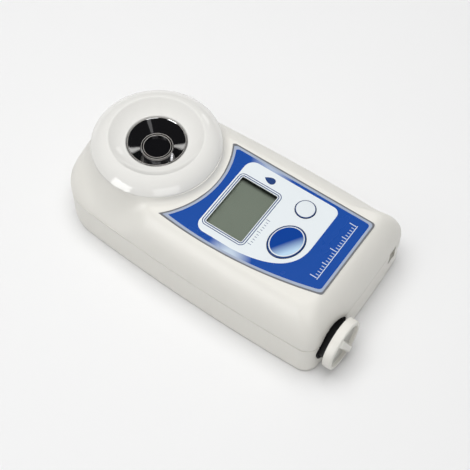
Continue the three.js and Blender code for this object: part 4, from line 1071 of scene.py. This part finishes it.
def panel_edge():
    """The white panel: straight top, right and left edges with round corners, and a long curve of four
    control points at the lower left."""
    quarter = np.pi / 2
    corners = [(10.6, -30.5, 2.4, -1), (9.8, -3.1, 3.2, 0), (-13.7, -3.1, 3.2, 1)]
    a, b, c, d = np.array([(-16.9, -13.5), (-15.8, -26.0), (-11.8, -32.9), (-3.0, -32.9)])
    s = np.linspace(0, 1, 40)[:, None]
    sweep = a * (1 - s) ** 3 + 3 * b * s * (1 - s) ** 2 + 3 * c * s * s * (1 - s) + d * s ** 3
    arcs = [
        arc_points(x, y, radius, turn * quarter, (turn + 1) * quarter, 12) for x, y, radius, turn in corners]
    return np.vstack([*arcs, sweep])


def mark(x, y, width, height):
    """A small upright mark as a closed ring."""
    return rounded(-width / 2, width / 2, -height / 2, height / 2, min(width, height) * 0.3, 4) + [x, y]


def scale_marks(left, foot, pitch, count, talls, widths):
    """A row of scale marks that stand on a line: each fifth one is taller and wider, each tenth tallest."""
    marks = []
    for i in range(count):
        tall = talls[0] if i % 10 == 0 else talls[1] if i % 5 == 0 else talls[2]
        marks.append(mark(left + pitch * i, foot + tall / 2, widths[0] if i % 5 == 0 else widths[1], tall))
    return marks


def drop_sign(x, y, half_width, half_height):
    """A drop with its point up: a circle whose width shrinks towards the top."""
    rise = np.sin(around(60))
    across = half_width * np.cos(around(60)) * (1 - 0.5 * (rise + 1)) ** 0.5 * 1.25
    return np.stack([x + across, y + half_height * rise], axis=-1)


def build_film():
    """The printed film: a flat sheet with its edge, and areas side by side or a hair above it: border, pale
    line, blue field, panel, frame lines, a drop sign and two plain rows of scale marks."""
    f, c = values("refr_film"), values("refr_colours")
    over_deck, print_step, opening_depth, edge_depth, window_in = 0.02, 0.012, 0.28, 0.3, 0.15
    top, low = DECK + over_deck, DECK - opening_depth
    hair = top + print_step
    openings = [window_edge(-window_in), key_edge("start", f.key_gap), key_edge("zero", f.key_gap)]
    border, line, field, panel = film_edge(0), film_edge(f.border), film_edge(f.border + f.line), panel_edge()
    parts = [
        sheet_part(border, [line], top, 0),
        wall_part(border[::-1], top, DECK - edge_depth, 0),
        sheet_part(line, [field], top, 1),
        sheet_part(field, [panel], top, 2),
        sheet_part(panel, openings, top, 3),
        *(wall_part(ring, top, low, index) for ring, index in zip(openings, (3, 5, 5))),
    ]
    for grow, width in ((0.12, 0.3), (0.85, 0.26)):
        parts.append(sheet_part(window_edge(grow + width), [window_edge(grow)], hair, 4))
    scale = scale_marks(-10.6, -39.6, 1.08, 21, (2.3, 1.6, 1.0), (0.28, 0.2))
    small_scale = scale_marks(-12.4, -17.6, 1.0, 11, (1.3, 1.3, 0.8), (0.16, 0.16))
    parts += [sheet_part(ring, (), hair, 6) for ring in (*scale, mark(0.2, -39.9, 22.4, 0.26))]
    parts += [sheet_part(ring, (), hair, 4) for ring in (*small_scale, drop_sign(9.9, -9.2, 1.25, 1.9))]
    materials = [
        finish_material("film border", c.silver, 0.34, shade=0.05, grain=4200.0, depth=0.03, metal=0.35),
        finish_material("film line", c.pale, 0.3, depth=0.01),
        finish_material("film blue", c.blue, 0.27, shade=0.05, grain=5200.0, depth=0.02, tint=field_tint),
        finish_material("film panel", c.panel, 0.3, shade=0.015, depth=0.01),
        finish_material("film ink", c.ink, 0.3, depth=0.01),
        finish_material("film gap", (0.16, 0.19, 0.27), 0.5, depth=0.01),
        finish_material("film mark", (0.62, 0.70, 0.82), 0.32, shade=0.1, depth=0.01),
    ]
    points, faces, indices = joined(parts)
    put("printed_film", points, faces, "housing", "overlay_film", ["overlay"], materials, indices,
        smooth=False)


def key_material(key, field_to, ring_from, inside):
    """A key's print by distance from its middle: the field inside has the colour or tint given, then come a
    pale ring and an ink line."""
    c = values("refr_colours")
    line_from, line_blend = 0.925, 0.007

    def tint(tree):
        distance = spot(tree, *key_place(key))
        mask = ramp_of(tree, distance, [(0.0, 0), (field_to, 0), (ring_from, 1)])
        stops = [(0.0, c.panel), (line_from, c.panel), (line_from + line_blend, c.ink)]
        return mixed(tree, mask, inside(tree) if callable(inside) else inside, ramp_of(tree, distance, stops))

    return finish_material(
        f"{key} key", c.panel, 0.1, shade=0.01, spread=0.02, grain=400.0, depth=0.01, tint=tint,
        Coat_Weight=0.5, Coat_Roughness=0.04)


def build_key(key, slot, material):
    """A key: rings of an ellipse whose height is an elliptic dome, then a soft edge and an upright skirt."""
    pole, skirt, edge_drop, skirt_foot, steps = 0.0005, 1.006, 0.08, 1.2, 112
    f = values("refr_film")
    x, y, long, short, turn = key_place(key)
    share = np.sin(np.linspace(0.0, np.pi / 2, 26))
    share[0] = pole
    top = DECK + f.key_edge
    height = top + (f.key_rise - f.key_edge) * np.sqrt(np.clip(1 - share * share, 0, 1))
    share = np.append(share, [skirt, skirt])[:, None]
    height = np.append(height, [top - edge_drop, DECK - skirt_foot])[:, None]
    across, along = turned(
        share * long * np.cos(around(steps)), share * short * np.sin(around(steps)), x, y, turn)
    grid = np.stack([across, along, np.repeat(height, steps, axis=1)], axis=-1)
    put(f"{key}_key_cap", grid, grid_faces(len(grid), steps)[:, ::-1], f"{key}_key", slot, [f"{key}_button"],
        [material])


def build_keys():
    """Both keys with their printed rings; the start key shines pale at its lower right."""
    f, c = values("refr_film"), values("refr_colours")
    shine_turn = math.radians(-122)
    blue = along_tint(c.key_dark, c.key_light, f.start_x, f.start_y, shine_turn, f.start_short)
    build_key("start", "key_blue", key_material("start", 0.865, 0.885, blue))
    build_key("zero", "key_white", key_material("zero", 0.9, 0.915, c.panel))


# The cap and the parts inside

def build_cap():
    """The cap's face is a height over its disc: a level rim, two pockets with soft walls, and a ridge whose
    half width narrows to its waist and whose height is an arch. A skirt and a turned back close it."""
    edge_round, pole, deep = 0.42, 0.002, 0.72
    neck_radius, neck_inner, neck_length = 6.4, 5.4, 8.2
    wall_out, wall, side_out, side, waist_power, shoulder, blend = 0.35, 0.5, 0.42, 0.62, 1.6, 0.2, 0.25
    c = values("refr_cap")
    rings, steps = 120, 288
    radius = np.linspace(pole, c.radius - edge_round, rings)[:, None]
    u, v = radius * np.cos(around(steps)), radius * np.sin(around(steps))
    inner, front, back = c.radius - c.rim, -c.back - c.thickness, -c.back
    rim = smooth_step(radius, inner - wall_out, wall) * np.ones_like(u)
    half = c.waist + (c.ridge - c.waist) * np.clip(np.abs(u) / inner, 0, 1) ** waist_power
    arch = c.proud * np.sqrt(np.clip(1 - (u / (inner + 0.5)) ** 2, 0, 1))
    body = smooth_step(half - np.abs(v), -side_out, side)
    round_top = np.sqrt(np.clip(1 - (np.abs(v) / (half + 0.5)) ** 4, 0, 1))
    ridge = -c.pocket + (c.pocket + arch) * body * (1 - shoulder + shoulder * round_top)
    over_rim = ridge * (1 - rim) + np.maximum(ridge * 0.6, 0) * rim
    height = softer_max(-c.pocket * (1 - rim), over_rim, blend)
    bend = np.linspace(0, np.pi / 2, 7)[1:]
    skirt = np.vstack([
        np.c_[c.radius - edge_round + edge_round * np.sin(bend), front + edge_round * (1 - np.cos(bend))],
        [(c.radius, back - 0.3), (c.radius - 0.1, back - 0.1), (c.radius - 0.35, back)],
        [(c.radius - 1.2, back)],
        [(neck_radius, back), (neck_radius, back + neck_length), (neck_inner, back + neck_length)]])
    ring = skirt[:, 0, None]
    u, v = np.vstack([u, ring * np.cos(around(steps))]), np.vstack([v, ring * np.sin(around(steps))])
    across, along = turned(u, v, 0, 0, c.turn)
    depth = np.vstack([front - height, np.repeat(skirt[:, 1, None], steps, axis=1)])
    grid = np.stack([CAP_X + across, depth, CAP_Z - along], axis=-1)
    faces = grid_faces(len(grid), steps)
    finish = np.zeros(len(faces), np.int32)
    # The deepest parts of the pockets take the darker pocket finish: real stipple with painted shade in the
    # recesses.
    low = height[:-1].ravel() < -c.pocket * deep
    finish[:len(low)] = low
    # The cap's back and neck take a near black finish: painted shadow in the gap behind the cap.
    finish[-3 * steps:] = 2
    stipple_and_shade = finish_material(
        "stippled pocket", values("refr_colours").pocket, 0.6, shade=0.06, grain=1500.0, depth=0.7)
    put("twist_cap", grid, faces, "cap", "shell", ["battery_cap"],
        [shell_material(), stipple_and_shade, painted_shadow_material("cap neck", 0.012)], finish)


def dress(name, material):
    """Gives a CAD node one finish."""
    made = frame["nodes"][name]
    made.data.materials.clear()
    made.data.materials.append(material)


def build_display():
    """Finishes of the display, with a painted shadow of the recess wall darkening it along its right edge,
    and of its clear window.
    """
    c = values("refr_colours")
    # The display's face darkens towards its right edge: painted shadow of the recess wall.
    shade_from, shade_half = values("refr_film").window_right - 1.6, 1.8
    recess_shadow_tint = along_tint(c.display, c.display_edge, shade_from, 0, 0, shade_half)
    face = finish_material("display face", c.display, 0.35, depth=0.0, tint=recess_shadow_tint)
    dress("display_glass", face)
    dress("display_window", clear_material("clear window", (0.96, 0.97, 0.96), 0.03))


# Name, colour, roughness and further settings of the finish of each slot inside
INSIDE = {
    "grey_rubber": ("grey rubber", (0.14, 0.145, 0.15), 0.75, dict(grain=2600.0, depth=0.1)),
    "black_rubber": ("black rubber", (0.012, 0.012, 0.013), 0.62, dict(grain=2600.0, depth=0.1)),
    "prism_glass": (
        "dark prism", (0.006, 0.006, 0.007), 0.02,
        dict(shade=0.1, spread=0.01, grain=500.0, depth=0.005, Coat_Weight=0.4)),
    "optic_black": ("optic black", (0.01, 0.01, 0.011), 0.55, dict(grain=3200.0, depth=0.12)),
    "amber_resin": ("amber resin", (0.75, 0.38, 0.04), 0.15, dict(depth=0.01, Transmission_Weight=0.5)),
    "chip_black": ("chip black", (0.018, 0.018, 0.02), 0.45, dict(grain=3600.0, depth=0.12)),
    "board_green": ("solder mask", (0.012, 0.09, 0.04), 0.35, dict(shade=0.2, grain=1400.0, depth=0.06)),
    "probe_metal": ("probe metal", (0.4, 0.41, 0.43), 0.3, dict(metal=1.0, grain=2600.0)),
    "screw_steel": (
        "zinc screw", (0.55, 0.56, 0.58), 0.28, dict(shade=0.12, metal=1.0, grain=1800.0, depth=0.08)),
    "tube_plastic": ("tube plastic", (0.035, 0.037, 0.04), 0.5, dict(depth=0.08)),
    "cell_jacket": ("cell jacket", (0.42, 0.43, 0.46), 0.25, dict(shade=0.1, metal=0.8, grain=1200.0)),
    "contact_brass": ("contact plate", (0.62, 0.42, 0.13), 0.25, dict(shade=0.12, metal=1.0, grain=1600.0)),
}


def inside_material(slot):
    """The finish of a slot inside, or None where it has none here."""
    if slot == "lens_glass":
        return clear_material("lens glass", (0.92, 0.95, 0.96), 0.02)
    if slot in INSIDE:
        name, base, rough, settings = INSIDE[slot]
        return finish_material(name, base, rough, **settings)
    return None


def dress_inside():
    """Finishes of the CAD nodes that stay as they are, by the slot that the record gives them."""
    for part in frame["record"]["subparts"]:
        name, slot = part["node"], part.get("material_slot")
        made = frame["nodes"].get(name)
        if made and not made.hide_render and inside_material(slot):
            dress(name, inside_material(slot))


# The studio

# Azimuth and elevation in degrees, distance and sides in metres, radiance, and whether only reflections show
# the light or only other rays do
LIGHTS = {
    "high softbox": (90, 88, 0.6, 0.45, 0.45, 4.1, False),
    "left fill": (165, 55, 0.6, 0.45, 0.45, 0.7, False),
    "left softbox": (162, 17, 0.7, 0.34, 0.42, 6.0, True),
    "front card": (230, 33, 0.8, 0.5, 0.36, 2.6, True),
    "right card": (4, 20, 0.6, 0.1, 0.12, 1.7, True),
    "streak card": (-113, 53, 0.6, 0.1, 0.25, 0.14, True),
}
SKY_LOW, SKY_HIGH = 0.35, 0.42
GLOSSY_SKY = (0.012, 0.012, 0.013)
FLOOR_TONE, FLOOR_HALF, FLOOR_DROP = 0.87, 3.0, 0.00005


def staged(name, data, place, towards, roll=0.0):
    """A stage object that looks along a direction."""
    made = bpy.data.objects.new(name, data)
    bpy.context.scene.collection.objects.link(made)
    made.location = place
    made.rotation_mode = "QUATERNION"
    turn = Matrix.Rotation(roll, 3, "Z").to_quaternion()
    made.rotation_quaternion = towards.to_track_quat("-Z", "Y") @ turn
    return made


def build_lights():
    """Rectangular soft lights that face the stage: each one's power is its radiance times pi and its area."""
    for name, (azimuth, elevation, distance, width, height, radiance, only_gloss) in LIGHTS.items():
        azimuth, elevation = math.radians(azimuth), math.radians(elevation)
        level = math.cos(elevation)
        towards = Vector((math.cos(azimuth) * level, math.sin(azimuth) * level, math.sin(elevation)))
        light = bpy.data.lights.new(name, "AREA")
        light.shape = "RECTANGLE"
        light.size, light.size_y = width, height
        light.energy = radiance * math.pi * width * height
        place = Vector((0, STAGE_Y * MM, CREST * MM)) + towards * distance
        made = staged(name, light, place, -towards)
        made.visible_diffuse, made.visible_glossy = not only_gloss, only_gloss


def build_world():
    """A pale sky that reflections see dark and the camera sees white."""
    world = bpy.data.worlds.new("studio")
    bpy.context.scene.world = world
    world.use_nodes = True
    tree = world.node_tree
    tree.nodes.clear()
    out = node(tree, "OutputWorld")
    place = node(tree, "TexCoord")
    split = node(tree, "SeparateXYZ")
    sky = node(tree, "Background", in_Strength=1.0)
    plain = node(tree, "Background", in_Strength=1.0, in_Color=(1, 1, 1, 1))
    dark = node(tree, "Background", in_Strength=1.0, in_Color=(*GLOSSY_SKY, 1))
    path = node(tree, "LightPath")
    shiny, seen = node(tree, "MixShader"), node(tree, "MixShader")
    wire(tree, (place, "Generated", split, 0))
    tree.links.new(ramp_of(tree, split.outputs[2], [(0.0, SKY_LOW), (1.0, SKY_HIGH)]), sky.inputs["Color"])
    wire(
        tree, (path, "Is Glossy Ray", shiny, 0), (sky, 0, shiny, 1), (dark, 0, shiny, 2),
        (path, "Is Camera Ray", seen, 0), (shiny, 0, seen, 1), (plain, 0, seen, 2), (seen, 0, out, "Surface"))


def build_studio():
    """White floor, soft light from above, and the camera at the photograph's viewing angle."""
    s, scene = values("refr_studio"), bpy.context.scene
    mesh = bpy.data.meshes.new("floor")
    corners = [(-1, -1), (1, -1), (1, 1), (-1, 1)]
    mesh.from_pydata([(x * FLOOR_HALF, y * FLOOR_HALF, -FLOOR_DROP) for x, y in corners], [], [(0, 1, 2, 3)])
    mesh.materials.append(finish_material(
        "floor", (FLOOR_TONE,) * 3, 0.9, shade=0.0, spread=0.0, depth=0.0, Specular_IOR_Level=0.0))
    floor = bpy.data.objects.new("floor", mesh)
    scene.collection.objects.link(floor)
    build_world()
    build_lights()
    level = math.cos(s.elevation)
    view = Vector((math.sin(s.azimuth) * level, -math.cos(s.azimuth) * level, math.sin(s.elevation)))
    camera = bpy.data.cameras.new("photo camera")
    camera.sensor_width = 36
    camera.lens = s.lens
    camera.clip_start, camera.clip_end = 0.01, 20
    scene.camera = staged("photo camera", camera, Vector(s.aim) + view * s.distance * MM, -view, s.roll)
    scene.view_settings.view_transform = "Standard"


# Operators and panel

class Step:
    """What the building steps share: running one does its work, and a failure raises an error."""

    bl_options = {"REGISTER"}

    def execute(self, context):
        self.work()
        return {"FINISHED"}


class REFRACTOMETER_OT_upper_shell(Step, bpy.types.Operator):
    """Build the smooth upper skin with its collar"""

    bl_idname = "refractometer.upper_shell"
    bl_label = "Upper shell"
    work = staticmethod(build_upper_shell)


class REFRACTOMETER_OT_lower_shell(Step, bpy.types.Operator):
    """Build the smooth lower skin and base"""

    bl_idname = "refractometer.lower_shell"
    bl_label = "Lower shell"
    work = staticmethod(build_lower_shell)


class REFRACTOMETER_OT_case_seal(Step, bpy.types.Operator):
    """Build the rubber seal between the cases"""

    bl_idname = "refractometer.case_seal"
    bl_label = "Case seal"
    work = staticmethod(build_case_seal)


class REFRACTOMETER_OT_end_wells(Step, bpy.types.Operator):
    """Build the cap's well and the strap passage"""

    bl_idname = "refractometer.end_wells"
    bl_label = "End wells"
    work = staticmethod(build_end_wells)


class REFRACTOMETER_OT_stage(Step, bpy.types.Operator):
    """Build the glossy stage and the polished dish"""

    bl_idname = "refractometer.stage"
    bl_label = "Stage and well"
    work = staticmethod(build_stage)


class REFRACTOMETER_OT_film(Step, bpy.types.Operator):
    """Build the printed film over the deck"""

    bl_idname = "refractometer.film"
    bl_label = "Printed film"
    work = staticmethod(build_film)


class REFRACTOMETER_OT_keys(Step, bpy.types.Operator):
    """Build the start key and the zero key"""

    bl_idname = "refractometer.keys"
    bl_label = "Keys"
    work = staticmethod(build_keys)


class REFRACTOMETER_OT_cap(Step, bpy.types.Operator):
    """Build the battery cap"""

    bl_idname = "refractometer.cap"
    bl_label = "Twist cap"
    work = staticmethod(build_cap)


class REFRACTOMETER_OT_display(Step, bpy.types.Operator):
    """Dress the display and its window"""

    bl_idname = "refractometer.display"
    bl_label = "Display"
    work = staticmethod(build_display)


class REFRACTOMETER_OT_inside(Step, bpy.types.Operator):
    """Dress the parts that keep their CAD form"""

    bl_idname = "refractometer.inside"
    bl_label = "Inner parts"
    work = staticmethod(dress_inside)


class REFRACTOMETER_OT_studio(Step, bpy.types.Operator):
    """Build the floor, the light and the camera"""

    bl_idname = "refractometer.studio"
    bl_label = "Studio"
    work = staticmethod(build_studio)


OPERATORS = [
    REFRACTOMETER_OT_upper_shell, REFRACTOMETER_OT_lower_shell,
    REFRACTOMETER_OT_case_seal, REFRACTOMETER_OT_end_wells,
    REFRACTOMETER_OT_stage, REFRACTOMETER_OT_film,
    REFRACTOMETER_OT_keys, REFRACTOMETER_OT_cap,
    REFRACTOMETER_OT_display, REFRACTOMETER_OT_inside,
    REFRACTOMETER_OT_studio,
]


class REFRACTOMETER_PT_build(bpy.types.Panel):
    """Lists the building steps."""

    bl_label = "Pocket refractometer"
    bl_idname = "REFRACTOMETER_PT_build"
    bl_space_type = "VIEW_3D"
    bl_region_type = "UI"
    bl_category = "Refractometer"

    def draw(self, context):
        for made in OPERATORS:
            self.layout.operator(made.bl_idname)


def register():
    """Registers the property groups, operators and panel."""
    for name, group in GROUPS.items():
        bpy.utils.register_class(group)
        setattr(bpy.types.Scene, name, bpy.props.PointerProperty(type=group))
    for made in [*OPERATORS, REFRACTOMETER_PT_build]:
        bpy.utils.register_class(made)


def unregister():
    """Takes everything back."""
    for made in [REFRACTOMETER_PT_build, *reversed(OPERATORS)]:
        bpy.utils.unregister_class(made)
    for name, group in reversed(GROUPS.items()):
        delattr(bpy.types.Scene, name)
        bpy.utils.unregister_class(group)


def main():
    """Registers, and builds every piece in order."""
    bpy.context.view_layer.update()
    register()
    for made in OPERATORS:
        getattr(bpy.ops.refractometer, made.bl_idname.split(".")[1])()


if __name__ == "__main__":
    main()
